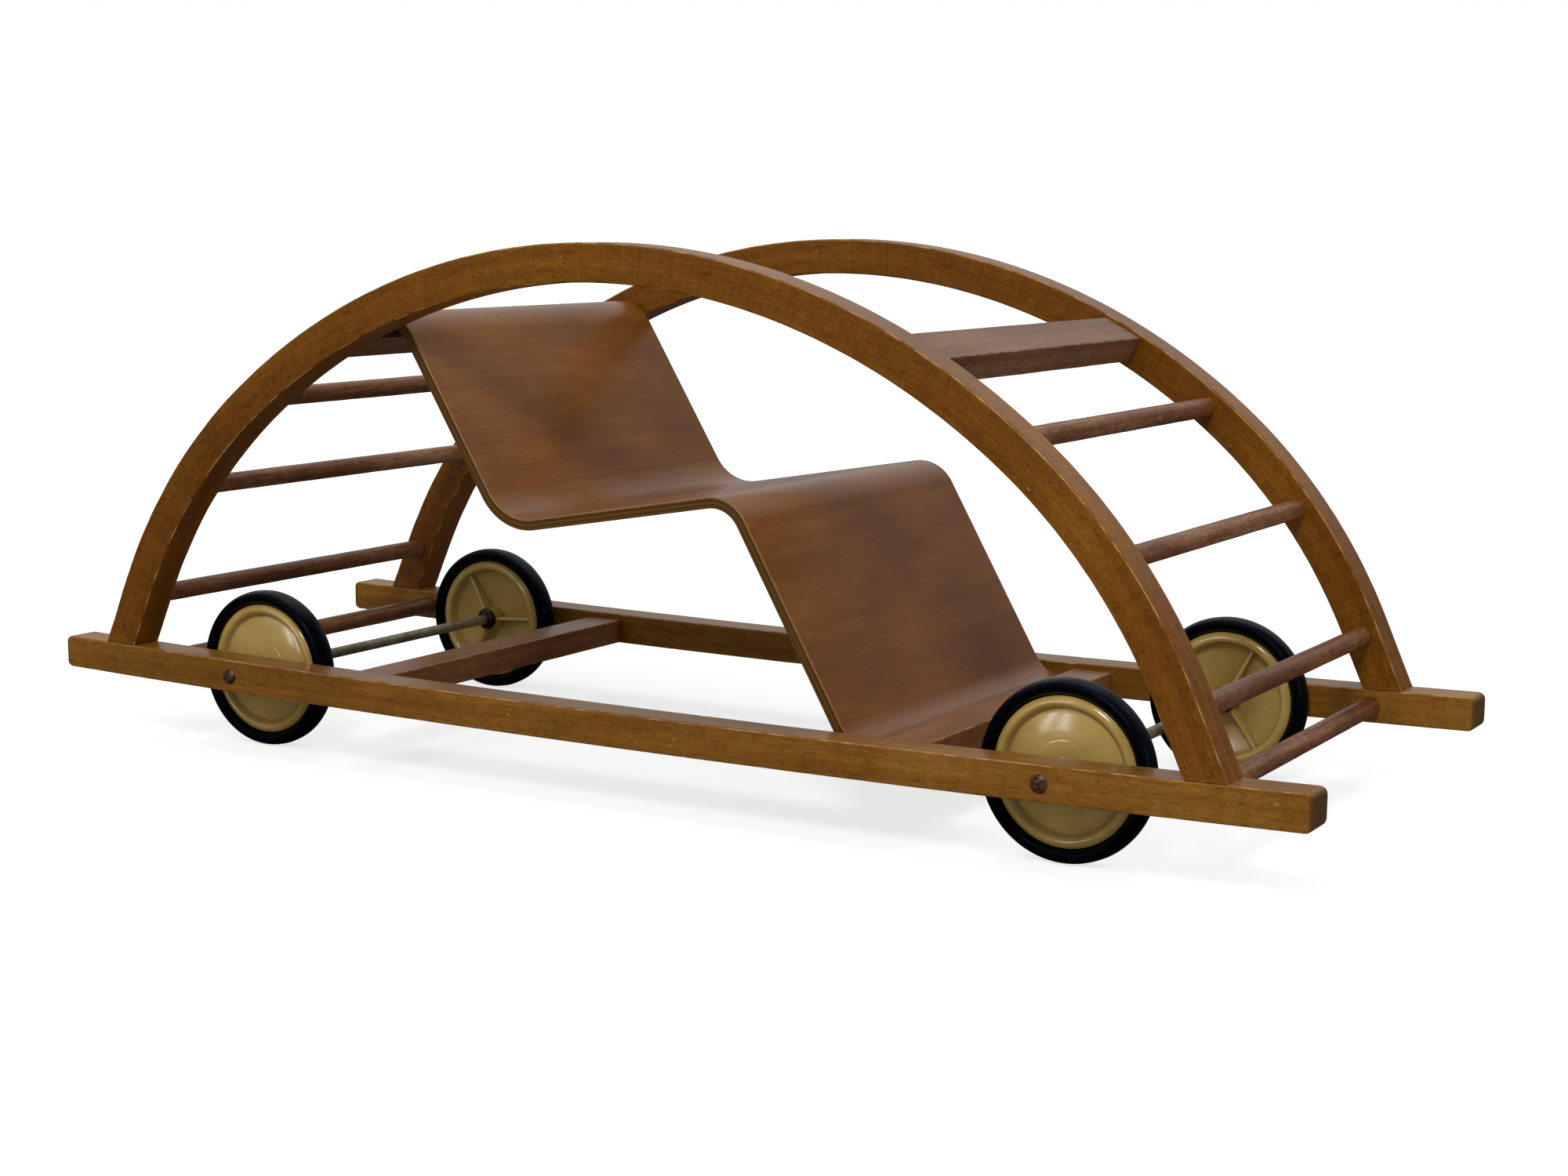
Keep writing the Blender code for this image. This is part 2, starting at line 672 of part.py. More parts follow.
# Dowels in the arch feet
def foot_pins():
    """Name, foot point on the rail top and direction of each pin, up along the leg."""
    outer, inner = arch_leg(0)[1], arch_leg(ARCH_DEPTH)[1]
    foot_x = (outer[0] + inner[0]) / 2
    foot_z = (outer[1] + inner[1]) / 2
    pins = []
    for end, sign in ENDS.items():
        up = Vector((-sign * math.cos(SHOULDER_ANGLE), 0, math.sin(SHOULDER_ANGLE)))
        for side, hand in SIDES.items():
            foot = Vector((ARCH_X + sign * foot_x, hand * TIMBER_Y, foot_z))
            pins.append((f"{end}_{side}", foot, up))
    return pins


def make_foot_pins():
    """Pins for the feet; returns the cutters of their holes by side."""
    holes = {side: [] for side in SIDES}
    for tag, foot, up in foot_pins():
        reach = up * (PIN_DEPTH - GAP)
        pin = rod("foot_pin_" + tag, PIN_DIAMETER / 2, foot - reach, foot + reach)
        finish(pin, DARK_BEECH)
        deep = up * PIN_DEPTH
        hole = rod(f"foot_pin_{tag}_hole", PIN_DIAMETER / 2 + GAP, foot - deep, foot + deep, CUTTERS)
        holes[tag.split("_")[1]].append(make_cutter(hole))
    return holes


# Assembly
def build():
    rung_places = make_rungs()
    arch_bores = bore_cutters({n: p for n, p in rung_places.items() if not n.startswith("low")},
                              RUNG_DIAMETER, INNER_Y + BORE_DEPTH)
    rail_bores = bore_cutters({n: p for n, p in rung_places.items() if n.startswith("low")},
                              RUNG_DIAMETER, INNER_Y + BORE_DEPTH)
    rail_bores += bore_cutters({"axle_" + end: (x, TYRE_RADIUS) for end, x in AXLE_X.items()},
                               AXLE_DIAMETER, WIDTH)
    groove = make_seat()
    mortises = {}
    for name, sign in (("seat_top_bar", -1), ("hand_bar", 1)):
        x, z = arch_point(sign * BAR_ANGLE, BAR_INSET + BAR_THICKNESS / 2)
        bar, mortises[name] = make_bar(name, x, z, sign * BAR_ANGLE, BAR_THICKNESS)
        if name == "seat_top_bar":
            boolean(bar, [groove])
        finish(bar, DARK_BEECH)
    for end, x in (("rear", REAR_BEAM_X), ("front", FRONT_BEAM_X)):
        name = "cross_beam_" + end
        beam, mortises[name] = make_bar(name, x, beam_z(x), 0, BEAM_THICKNESS)
        if end == "front":
            boolean(beam, [groove])
        finish(beam, DARK_BEECH)
    holes = make_foot_pins()
    for side in SIDES:
        arch = make_arch(side)
        boolean(arch, arch_bores + [mortises["seat_top_bar"], mortises["hand_bar"]] + holes[side])
        finish(arch, BEECH)
        rail = make_rail(side)
        boolean(rail, rail_bores + [mortises["cross_beam_rear"], mortises["cross_beam_front"]] + holes[side])
        finish(rail, BEECH)
    make_running_gear()


build()
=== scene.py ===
import json
import math

import bmesh
import bpy
from mathutils import Matrix, Vector, noise

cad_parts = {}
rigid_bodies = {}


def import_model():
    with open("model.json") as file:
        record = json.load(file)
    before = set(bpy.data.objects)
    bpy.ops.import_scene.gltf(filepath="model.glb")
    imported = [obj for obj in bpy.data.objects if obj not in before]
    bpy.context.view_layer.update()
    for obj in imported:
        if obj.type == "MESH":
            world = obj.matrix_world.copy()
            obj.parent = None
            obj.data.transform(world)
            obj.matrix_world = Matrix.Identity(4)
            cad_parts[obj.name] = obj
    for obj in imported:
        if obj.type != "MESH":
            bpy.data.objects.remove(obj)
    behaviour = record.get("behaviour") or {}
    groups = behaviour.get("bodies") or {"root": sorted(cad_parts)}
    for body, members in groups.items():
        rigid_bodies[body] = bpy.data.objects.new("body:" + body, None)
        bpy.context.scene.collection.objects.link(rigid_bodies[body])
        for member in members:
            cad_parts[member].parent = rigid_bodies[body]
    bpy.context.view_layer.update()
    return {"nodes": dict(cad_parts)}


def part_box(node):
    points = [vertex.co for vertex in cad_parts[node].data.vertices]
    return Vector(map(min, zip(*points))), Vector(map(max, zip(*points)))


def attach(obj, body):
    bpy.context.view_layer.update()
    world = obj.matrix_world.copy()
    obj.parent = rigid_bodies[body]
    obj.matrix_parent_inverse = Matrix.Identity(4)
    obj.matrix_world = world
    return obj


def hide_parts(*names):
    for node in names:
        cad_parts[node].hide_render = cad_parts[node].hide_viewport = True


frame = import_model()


# Side rails
# Two planed beech bars, sprung so slightly that the middle lies 5 mm below the ends. Their
# ends are rounded top and bottom and the long edges eased with sandpaper. The golden nitro
# lacquer has yellowed, and hands and floors have worn it pale along the edges.
WIDTH = 0.367
TIMBER = 0.0265
RAIL_HEIGHT = 0.024
RAIL_BEND_RADIUS = 22.1
RAIL_CORNER = 0.005
EASED_EDGE = 0.0016
AXLE_HEIGHT = 0.059
SIDES = {"right": -1, "left": 1}
ENDS = {"rear": -1, "front": 1}
TIMBER_Y = (WIDTH - TIMBER) / 2
RING_SPACING = 0.004


def middle_of(node):
    """The middle of a CAD node's box."""
    low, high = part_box(node)
    return (low + high) / 2


AXLE_X = {end: middle_of("axle_" + end).x for end in ENDS}


def rail_mid_z(x):
    """Height of the middle of a rail, level with the axles where they cross."""
    return AXLE_HEIGHT + (x * x - AXLE_X["front"] ** 2) / (2 * RAIL_BEND_RADIUS)


def eased_ring(half_a, half_b, radius):
    """Points (a, b, wear) round a rectangle; wear is 1 in the middle of an eased corner."""
    steps = 6
    ring = []
    for quarter in range(4):
        middle = math.pi / 2 * (quarter + 0.5)
        corner_a = math.copysign(half_a - radius, math.cos(middle))
        corner_b = math.copysign(half_b - radius, math.sin(middle))
        for step in range(steps + 1):
            turn = math.pi / 2 * (quarter + step / steps)
            wear = math.sin(math.pi * step / steps)
            ring.append((corner_a + radius * math.cos(turn), corner_b + radius * math.sin(turn), wear))
    return ring


def skin(rings, masks=("worn_edge", "end_grain")):
    """A closed mesh through rings of points; what follows x, y, z in a point fills the masks."""
    count = len(rings[0])
    points = [point for ring in rings for point in ring]
    faces = []
    for first in range(0, len(points) - count, count):
        for i in range(count):
            j = (i + 1) % count
            faces.append((first + i, first + j, first + count + j, first + count + i))
    faces.append(tuple(range(count)))
    faces.append(tuple(range(len(points) - count, len(points))))
    mesh = bpy.data.meshes.new("skin")
    mesh.from_pydata([point[:3] for point in points], [], faces)
    for column, label in enumerate(masks, 3):
        mask = mesh.attributes.new(label, "FLOAT", "POINT")
        mask.data.foreach_set("value", [point[column] for point in points])
    return mesh


def rounded_off(depth, radius):
    """What a rounded end takes off a face, this far from the end."""
    gone = max(0.0, radius - depth)
    return radius - math.sqrt(radius * radius - gone * gone)


def worn_radius(base, along, edge):
    """Radius of an eased edge, uneven from the sanding block and from knocks."""
    drift = noise.noise(Vector((along * 20, edge, 0)))
    knock = max(0.0, noise.noise(Vector((along * 110, edge, 7))) - 0.3)
    return base * (1 + 0.3 * drift + 1.8 * knock)


def stations(start, end, rounding):
    """Places along a bar, close together in its rounded ends."""
    near = [rounding * share for share in (0, 0.03, 0.08, 0.18, 0.32, 0.5, 0.72, 1)]
    count = round((end - start) / RING_SPACING)
    middle = [start + (end - start) * i / count for i in range(1, count)]
    middle = [place for place in middle if start + rounding < place < end - rounding]
    return [start + d for d in near] + middle + [end - d for d in reversed(near)]


def linear(code):
    """An sRGB hex colour as a linear one."""
    channels = [int(code[i:i + 2], 16) / 255 for i in (1, 3, 5)]
    return [c / 12.92 if c <= 0.04045 else ((c + 0.055) / 1.055) ** 2.4 for c in channels] + [1.0]


def fill(tree, node, inputs):
    """Link or set a node's inputs, which are given in order or by name."""
    for key, value in inputs.items() if isinstance(inputs, dict) else enumerate(inputs):
        if isinstance(value, bpy.types.NodeSocket):
            tree.links.new(value, node.inputs[key])
        else:
            node.inputs[key].default_value = value


def add(tree, kind, inputs=(), stops=(), **settings):
    """Add a node with its settings, inputs and a ramp's colour stops, and give its outlets."""
    # A shader node's kind is given without its prefix
    made = tree.nodes.new(kind if "Node" in kind else "ShaderNode" + kind)
    for key, value in settings.items():
        setattr(made, key, value)
    fill(tree, made, inputs)
    if stops:
        elements = made.color_ramp.elements
        while len(elements) < len(stops):
            elements.new(0.5)
        for element, (position, code) in zip(elements, stops):
            element.position = position
            element.color = linear(code)
    return made.outputs


def sum_of(tree, total, *parts):
    """A value plus each noise or mask of the parts times its share."""
    for value, share in parts:
        total = add(tree, "Math", (value, share, total), operation="MULTIPLY_ADD")[0]
    return total


def new_material(name):
    """A material, its node tree and its shader."""
    material = bpy.data.materials.new(name)
    material.use_nodes = True
    return material, material.node_tree, material.node_tree.nodes["Principled BSDF"]


def grain_place(tree, along):
    """Where a point lies in its board: along the grain first, then twice across it."""
    if along == "path":
        return add(tree, "Attribute", attribute_name="grain")["Vector"]
    place = add(tree, "TexCoord")["Object"]
    turn = -math.pi / 2 if along == "y" else 0
    return add(tree, "Mapping", {"Vector": place, "Rotation": (0, 0, turn)})["Vector"]


def streaks(tree, place, length_mm, width_mm, detail=2.0, shift=0.0):
    """Noise drawn out along the grain into marks of about this size."""
    scale = (1000 / length_mm, 1000 / width_mm, 1000 / width_mm)
    drawn = add(tree, "Mapping", {"Vector": place, "Location": (shift,) * 3, "Scale": scale})["Vector"]
    return add(tree, "TexNoise", {"Vector": drawn, "Scale": 1.0, "Detail": detail})["Fac"]


def painted(tree, colour, mask, share, code, mode="MIX"):
    """A colour with another one, given as sRGB hex, laid over it by a share of a mask."""
    amount = add(tree, "Math", (mask, share), operation="MULTIPLY")[0]
    # Inputs 0, 6 and 7 of a colour mix are its factor and its two colours
    return add(tree, "Mix", {0: amount, 6: colour, 7: linear(code)}, data_type="RGBA", blend_type=mode)[2]


def lacquered_beech(name, along, tones, bare, sheen, shift=0.0, rippled=0.05):
    """Beech with its short dark ray flecks under lacquer; bare is its colour where it is worn."""
    material, tree, shader = new_material(name)
    place = grain_place(tree, along)
    drift = streaks(tree, place, 150, 45, 2, shift)
    rings = streaks(tree, place, 240, 5.5, 3, shift + 3)
    fibres = streaks(tree, place, 22, 1.1, 3, shift + 5)
    mottle = streaks(tree, place, 9, 6, 4, shift + 9)
    ripple = streaks(tree, place, 2.6, 28, 2, shift + 11)
    # Ray flecks are 1 to 3 mm long in beech; they are drawn a little longer so that they show
    flecks = add(tree, "MapRange", (streaks(tree, place, 3.5, 0.8, 2, shift + 13), 0.57, 0.67))[0]
    pores = streaks(tree, place, 1.6, 0.8, 2, shift + 15)
    tone = sum_of(tree, 0.0, (rings, 0.30), (drift, 0.45), (fibres, 0.25), (mottle, 0.20),
                  (pores, 0.28), (ripple, rippled))
    middle = 0.74 + rippled / 2
    wood = add(tree, "ValToRGB", (tone,), stops=[
        (middle - 0.16, tones[0]), (middle, tones[1]), (middle + 0.16, tones[2])])["Color"]
    wood = painted(tree, wood, flecks, 0.38, tones[0], "MULTIPLY")

    # Lacquer is rubbed off in a thin, broken line along the middle of the eased edges
    edge = add(tree, "Attribute", attribute_name="worn_edge")["Fac"]
    thin = add(tree, "Math", (edge, 1.7), operation="POWER")[0]
    broken = streaks(tree, place, 14, 7, 5, shift + 17)
    rubbed = add(tree, "MapRange", (sum_of(tree, 0.0, (thin, broken)), 0.40, 0.53))[0]
    wood = painted(tree, wood, rubbed, 0.8, bare)

    # Scuffs and small pale nicks on the faces
    nicks = add(tree, "MapRange", (streaks(tree, place, 9, 3.2, 2, shift + 23), 0.735, 0.77))[0]
    wood = painted(tree, wood, nicks, 0.5, bare)

    # End grain drinks more lacquer and goes darker
    end = add(tree, "Attribute", attribute_name="end_grain")["Fac"]
    wood = painted(tree, wood, end, 0.8, "#45300f")

    relief = sum_of(tree, fibres, (flecks, -0.5), (nicks, -1.5))
    fine = add(tree, "Bump", {"Height": relief, "Strength": 0.3, "Distance": 0.00012})[0]
    wavy = add(tree, "Bump", {"Height": mottle, "Strength": 0.25, "Distance": 0.0002, "Normal": fine})[0]
    fill(tree, shader, {
        "Base Color": wood, "Roughness": sum_of(tree, sheen, (mottle, 0.22), (rubbed, 0.15)),
        "Normal": wavy, "Specular IOR Level": 0.14, "Coat Weight": 0.28, "Coat Roughness": 0.2})
    return material


def fit_piece(name, mesh, material, body, nodes, sharp=38):
    """Put a finished mesh in the scene in place of its CAD nodes."""
    shell = bmesh.new()
    shell.from_mesh(mesh)
    bmesh.ops.recalc_face_normals(shell, faces=shell.faces)
    shell.to_mesh(mesh)
    shell.free()
    mesh.shade_smooth()
    mesh.set_sharp_from_angle(angle=math.radians(sharp))
    mesh.materials.clear()
    mesh.materials.append(material)
    mesh.name = name
    piece = bpy.data.objects.new(name, mesh)
    bpy.context.scene.collection.objects.link(piece)
    # Wide faces keep a flat shading beside their eased edges
    piece.modifiers.new("flat_faces", "WEIGHTED_NORMAL").keep_sharp = True
    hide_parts(*nodes)
    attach(piece, body)
    return piece


GOLDEN_TONES = ("#6e4410", "#845618", "#996a26")
BARE_BEECH = "#bd8f58"
rail_finish = lacquered_beech("yellowed_nitro_lacquer_on_beech_rails", "x", GOLDEN_TONES, BARE_BEECH, 0.30)
RAIL_REAR_X, RAIL_FRONT_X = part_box("rail_right")[0].x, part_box("rail_right")[1].x

for side, sign in SIDES.items():
    rings = []
    for x in stations(RAIL_REAR_X, RAIL_FRONT_X, RAIL_CORNER):
        depth = min(x - RAIL_REAR_X, RAIL_FRONT_X - x)
        half_y = TIMBER / 2 - rounded_off(depth, EASED_EDGE)
        half_z = RAIL_HEIGHT / 2 - rounded_off(depth, RAIL_CORNER)
        ring = eased_ring(half_y, half_z, worn_radius(EASED_EDGE, x, sign))
        # The rounded end is worn most 1 mm in, and end grain shows over the last 3 mm
        end_wear = max(0.0, 1 - abs(depth - 0.0010) / 0.0012)
        end_grain = min(1.0, max(0.0, (0.0030 - depth) / 0.0018))
        rings.append([(x, sign * TIMBER_Y + a, rail_mid_z(x) + b, max(wear, end_wear), end_grain)
                      for a, b, wear in ring])
    fit_piece("beech_rail_" + side, skin(rings), rail_finish, "frame", ["rail_" + side])


# Bent arches
# Square beech staves, steamed and bent over a former to one rule: a flat crown arc, a tighter
# shoulder arc on each side, then a straight leg. Each foot is cut to the rail and pinned to it.
# Geometry Nodes sweep the stave's section along that line and cut the feet.
ARCH_DEPTH = 0.0265
ARCH_RISE = 0.3257
CROWN_RADIUS = 0.5045
CROWN_ANGLE = math.radians(39.3)
SHOULDER_RADIUS = 0.4003
SHOULDER_ANGLE = math.radians(66.1)
ARCH_X = -0.0046
CROWN_Z = rail_mid_z(0) + ARCH_RISE - CROWN_RADIUS


def arch_point(angle, depth):
    """A point at an angle from the crown, this deep below the outer edge."""
    offset = CROWN_RADIUS - SHOULDER_RADIUS
    away = abs(angle)
    if away <= CROWN_ANGLE:
        x = (CROWN_RADIUS - depth) * math.sin(away)
        z = CROWN_Z + (CROWN_RADIUS - depth) * math.cos(away)
    else:
        across = offset * math.sin(CROWN_ANGLE - away)
        along = offset * math.cos(CROWN_ANGLE - away)
        reach = along + math.sqrt((SHOULDER_RADIUS - depth) ** 2 - across ** 2)
        x = reach * math.sin(away)
        z = CROWN_Z + reach * math.cos(away)
    return ARCH_X + math.copysign(x, angle), z


def arch_line():
    """The middle line of an arch, from below the rear foot to below the front foot."""
    half = ARCH_DEPTH / 2
    offset = CROWN_RADIUS - SHOULDER_RADIUS
    front = []
    radius = CROWN_RADIUS - half
    steps = round(radius * CROWN_ANGLE / RING_SPACING)
    for i in range(steps + 1):
        angle = CROWN_ANGLE * i / steps
        front.append((radius * math.sin(angle), CROWN_Z + radius * math.cos(angle)))
    centre_x = offset * math.sin(CROWN_ANGLE)
    centre_z = CROWN_Z + offset * math.cos(CROWN_ANGLE)
    radius = SHOULDER_RADIUS - half
    steps = round(radius * (SHOULDER_ANGLE - CROWN_ANGLE) / RING_SPACING)
    for i in range(1, steps + 1):
        angle = CROWN_ANGLE + (SHOULDER_ANGLE - CROWN_ANGLE) * i / steps
        front.append((centre_x + radius * math.sin(angle), centre_z + radius * math.cos(angle)))
    last_x, last_z = front[-1]
    while last_z > rail_mid_z(last_x):
        last_x += RING_SPACING * math.cos(SHOULDER_ANGLE)
        last_z -= RING_SPACING * math.sin(SHOULDER_ANGLE)
        front.append((last_x, last_z))
    rear = [(-x, z) for x, z in front[:0:-1]]
    return [(ARCH_X + x, z) for x, z in rear + front]


def new_tree(name, values):
    """A Geometry Nodes tree with named inputs; gives the tree and its inputs' outlets."""
    tree = bpy.data.node_groups.new(name, "GeometryNodeTree")
    tree.interface.new_socket("Geometry", in_out="INPUT", socket_type="NodeSocketGeometry")
    tree.interface.new_socket("Geometry", in_out="OUTPUT", socket_type="NodeSocketGeometry")
    for label, kind in values.items():
        tree.interface.new_socket(label, in_out="INPUT", socket_type="NodeSocket" + kind)
    return tree, add(tree, "NodeGroupInput")


def end_tree(tree, geometry, finish):
    """Close a tree: realize its instances, set the material and hand the mesh out."""
    real = add(tree, "GeometryNodeRealizeInstances", {"Geometry": geometry})[0]
    finished = add(tree, "GeometryNodeSetMaterial", {"Geometry": real, "Material": finish})[0]
    add(tree, "NodeGroupOutput", {"Geometry": finished})


def grown(start, tree, values):
    """The plain mesh that a tree makes from a starting mesh."""
    source = bpy.data.objects.new("source", start)
    bpy.context.scene.collection.objects.link(source)
    step = source.modifiers.new("grow", "NODES")
    step.node_group = tree
    for item in tree.interface.items_tree:
        if item.name in values:
            step[item.identifier] = values[item.name]
    bpy.context.view_layer.update()
    whole = source.evaluated_get(bpy.context.evaluated_depsgraph_get())
    mesh = bpy.data.meshes.new_from_object(whole)
    bpy.data.objects.remove(source)
    return mesh


def bent_stave_tree():
    """The tree that sweeps a stave along its line and cuts its feet to the rail."""
    tree, given = new_tree("bent stave", {
        "Thickness": "Float", "Depth": "Float", "Eased edge": "Float", "Wear": "Float", "Seed": "Float",
        "Middle": "Float", "Rail top": "Float", "Rail bend": "Float", "Leg angle": "Float",
        "Material": "Material"})
    line = add(tree, "GeometryNodeMeshToCurve", {"Mesh": given["Geometry"]})[0]
    along = add(tree, "GeometryNodeSplineParameter")["Length"]
    line = add(tree, "GeometryNodeStoreNamedAttribute", {
        "Geometry": line, "Name": "along", "Value": along})[0]

    section = add(tree, "GeometryNodeCurvePrimitiveQuadrilateral", {
        "Width": given["Thickness"], "Height": given["Depth"]})[0]
    section = add(tree, "GeometryNodeFilletCurve", {
        "Curve": section, "Count": 6, "Radius": given["Eased edge"]}, mode="POLY")[0]
    position = add(tree, "GeometryNodeInputPosition")[0]
    unsigned = add(tree, "VectorMath", (position,), operation="ABSOLUTE")[0]
    reach = add(tree, "VectorMath", (unsigned, (1, 1, 0)), operation="DOT_PRODUCT")["Value"]
    size = sum_of(tree, 0.0, (given["Thickness"], 0.5), (given["Depth"], 0.5))
    # The arc of a corner starts one radius inside the square's corner and peaks 0.586 inside
    start = sum_of(tree, size, (given["Eased edge"], -1))
    peak = sum_of(tree, size, (given["Eased edge"], -0.586))
    wear = add(tree, "MapRange", (reach, start, peak))[0]
    section = add(tree, "GeometryNodeStoreNamedAttribute", {
        "Geometry": section, "Name": "worn_edge", "Value": wear})[0]
    section = add(tree, "GeometryNodeStoreNamedAttribute", {
        "Geometry": section, "Name": "across", "Value": position}, data_type="FLOAT_VECTOR")[0]
    stave = add(tree, "GeometryNodeCurveToMesh", {
        "Curve": line, "Profile Curve": section, "Fill Caps": True})[0]

    across = add(tree, "GeometryNodeInputNamedAttribute", {"Name": "across"}, data_type="FLOAT_VECTOR")[0]
    spread = add(tree, "SeparateXYZ", (across,))
    along = add(tree, "GeometryNodeInputNamedAttribute", {"Name": "along"}, data_type="FLOAT")[0]
    grain = add(tree, "CombineXYZ", (along, spread[0], spread[1]))[0]
    stave = add(tree, "GeometryNodeStoreNamedAttribute", {
        "Geometry": stave, "Name": "grain", "Value": grain}, data_type="FLOAT_VECTOR")[0]

    # Sanding and knocks take a little more off the edges here and there
    edge = add(tree, "GeometryNodeInputNamedAttribute", {"Name": "worn_edge"}, data_type="FLOAT")[0]
    patches = add(tree, "TexNoise", {
        "W": given["Seed"], "Scale": 55.0, "Detail": 3.0}, noise_dimensions="4D")[0]
    patches = add(tree, "MapRange", (patches, 0.42, 0.75))[0]
    depth = sum_of(tree, 0.0, (sum_of(tree, 0.0, (edge, patches)), given["Wear"]))
    normal = add(tree, "GeometryNodeInputNormal")[0]
    inward = add(tree, "VectorMath", {
        0: normal, "Scale": sum_of(tree, 0.0, (depth, -1))}, operation="SCALE")[0]
    stave = add(tree, "GeometryNodeSetPosition", {"Geometry": stave, "Offset": inward})[0]

    # Points below the rail's top slide up the leg on to it, which cuts the foot to the rail
    spot = add(tree, "SeparateXYZ", (position,))
    squared = add(tree, "Math", (spot[0], 2), operation="POWER")[0]
    top = sum_of(tree, given["Rail top"], (squared, given["Rail bend"]))
    short = add(tree, "Math", (sum_of(tree, top, (spot[2], -1)), 0), operation="MAXIMUM")[0]
    slope = add(tree, "Math", (given["Leg angle"],), operation="TANGENT")[0]
    back = add(tree, "Math", (short, slope), operation="DIVIDE")[0]
    inwards = add(tree, "Math", (sum_of(tree, given["Middle"], (spot[0], -1)),), operation="SIGN")[0]
    cut = add(tree, "CombineXYZ", {0: sum_of(tree, 0.0, (back, inwards)), 2: short})[0]
    stave = add(tree, "GeometryNodeSetPosition", {"Geometry": stave, "Offset": cut})[0]
    end_tree(tree, stave, given["Material"])
    return tree


def line_mesh(points):
    """A mesh of edges from point to point."""
    mesh = bpy.data.meshes.new("line")
    mesh.from_pydata(points, [(i, i + 1) for i in range(len(points) - 1)], [])
    return mesh


arch_finish = lacquered_beech("yellowed_nitro_lacquer_on_bent_beech", "path",
                              ("#623604", "#774706", "#8c590e"), BARE_BEECH, 0.30, 31, 0.18)
stave_tree = bent_stave_tree()
for side, sign in SIDES.items():
    centre_line = line_mesh([(x, sign * TIMBER_Y, z) for x, z in arch_line()])
    arch = grown(centre_line, stave_tree, {
        "Thickness": TIMBER, "Depth": ARCH_DEPTH, "Eased edge": EASED_EDGE, "Wear": 0.0004,
        "Seed": 3.0 + sign, "Middle": ARCH_X, "Rail top": rail_mid_z(0) + RAIL_HEIGHT / 2,
        "Rail bend": 1 / (2 * RAIL_BEND_RADIUS), "Leg angle": SHOULDER_ANGLE, "Material": arch_finish})
    fit_piece("beech_arch_" + side, arch, arch_finish, "frame", ["arch_" + side])

# The dowels that pin the feet are buried in the wood, so their solids only get the finish
for end in ENDS:
    for side in SIDES:
        pin = frame["nodes"][f"foot_pin_{end}_{side}"]
        for slot in pin.material_slots:
            slot.material = rail_finish


# Rungs
# Eight 14 mm beech dowels, turned, glued into blind bores: three between the arches at each
# end, and a low one between the rails. Hands and shoes have dulled their lacquer to a pinkish
# brown. Geometry Nodes set one turned dowel, never quite true, at every bore.
RUNG_DIAMETER = 0.014
BORE_DEPTH = 0.013
INNER_Y = WIDTH / 2 - TIMBER
# The gap that is left round a rung, tenon, axle or rim, and between the pieces on an axle
GAP = 0.0003


def rung_tree():
    """The tree that sets one turned dowel at every bore and makes it a little untrue."""
    tree, given = new_tree("turned rungs", {
        "Length": "Float", "Diameter": "Float", "Untrue": "Float", "Seed": "Float", "Material": "Material"})
    end, start = [add(tree, "CombineXYZ", {1: sum_of(tree, 0.0, (given["Length"], half))})[0]
                  for half in (0.5, -0.5)]
    line = add(tree, "GeometryNodeCurvePrimitiveLine", {"Start": start, "End": end})[0]
    line = add(tree, "GeometryNodeResampleCurve", {"Curve": line, "Count": 60})[0]
    section = add(tree, "GeometryNodeCurvePrimitiveCircle", {
        "Resolution": 36, "Radius": sum_of(tree, 0.0, (given["Diameter"], 0.5))})[0]
    dowel = add(tree, "GeometryNodeCurveToMesh", {
        "Curve": line, "Profile Curve": section, "Fill Caps": True})[0]
    rungs = add(tree, "GeometryNodeInstanceOnPoints", {"Points": given["Geometry"], "Instance": dowel})[0]
    rungs = add(tree, "GeometryNodeRealizeInstances", {"Geometry": rungs})[0]
    lumps = add(tree, "TexNoise", {
        "W": given["Seed"], "Scale": 38.0, "Detail": 2.0}, noise_dimensions="4D")[0]
    lift = sum_of(tree, 0.0, (sum_of(tree, -0.5, (lumps, 1)), given["Untrue"]))
    normal = add(tree, "GeometryNodeInputNormal")[0]
    offset = add(tree, "VectorMath", {0: normal, "Scale": lift}, operation="SCALE")[0]
    rungs = add(tree, "GeometryNodeSetPosition", {"Geometry": rungs, "Offset": offset})[0]
    end_tree(tree, rungs, given["Material"])
    return tree


rung_names = [f"{kind}_{end}{number}" for end in ENDS
              for kind, number in (("rung", "_1"), ("rung", "_2"), ("rung", "_3"), ("low_rung", ""))]
rung_finish = lacquered_beech("hand_dulled_lacquer_on_turned_beech", "y",
                              ("#4e2c16", "#76492a", "#a07858"), "#a4866a", 0.36, 53)
rung_points = bpy.data.meshes.new("rung_points")
rung_points.from_pydata([middle_of(name) for name in rung_names], [], [])
rungs = grown(rung_points, rung_tree(), {
    "Length": 2 * (INNER_Y + BORE_DEPTH - GAP), "Diameter": RUNG_DIAMETER, "Untrue": 0.0005,
    "Seed": 2.0, "Material": rung_finish})
fit_piece("turned_rungs", rungs, rung_finish, "frame", rung_names)


# Flat bars and cross beams
# Four planed beech bars with stub tenons: one carries the top of the seat, one is the child's
# hand bar, and two low beams stiffen the rails. Their sharp planed edges are only just broken.
# Light has bleached the two bars to a greyish pink; the sheltered beams have stayed yellower.
BAR_WIDTH = 0.031
BAR_THICKNESS = 0.020
BAR_ANGLE = math.radians(28.0)
BAR_INSET = 0.0023
BEAM_THICKNESS = 0.019
TENON_DEPTH = 0.012
TENON_SHOULDER = 0.004
TENON_EDGE = 0.0002
BROKEN_EDGE = 0.0011
END_EASING = 0.0004


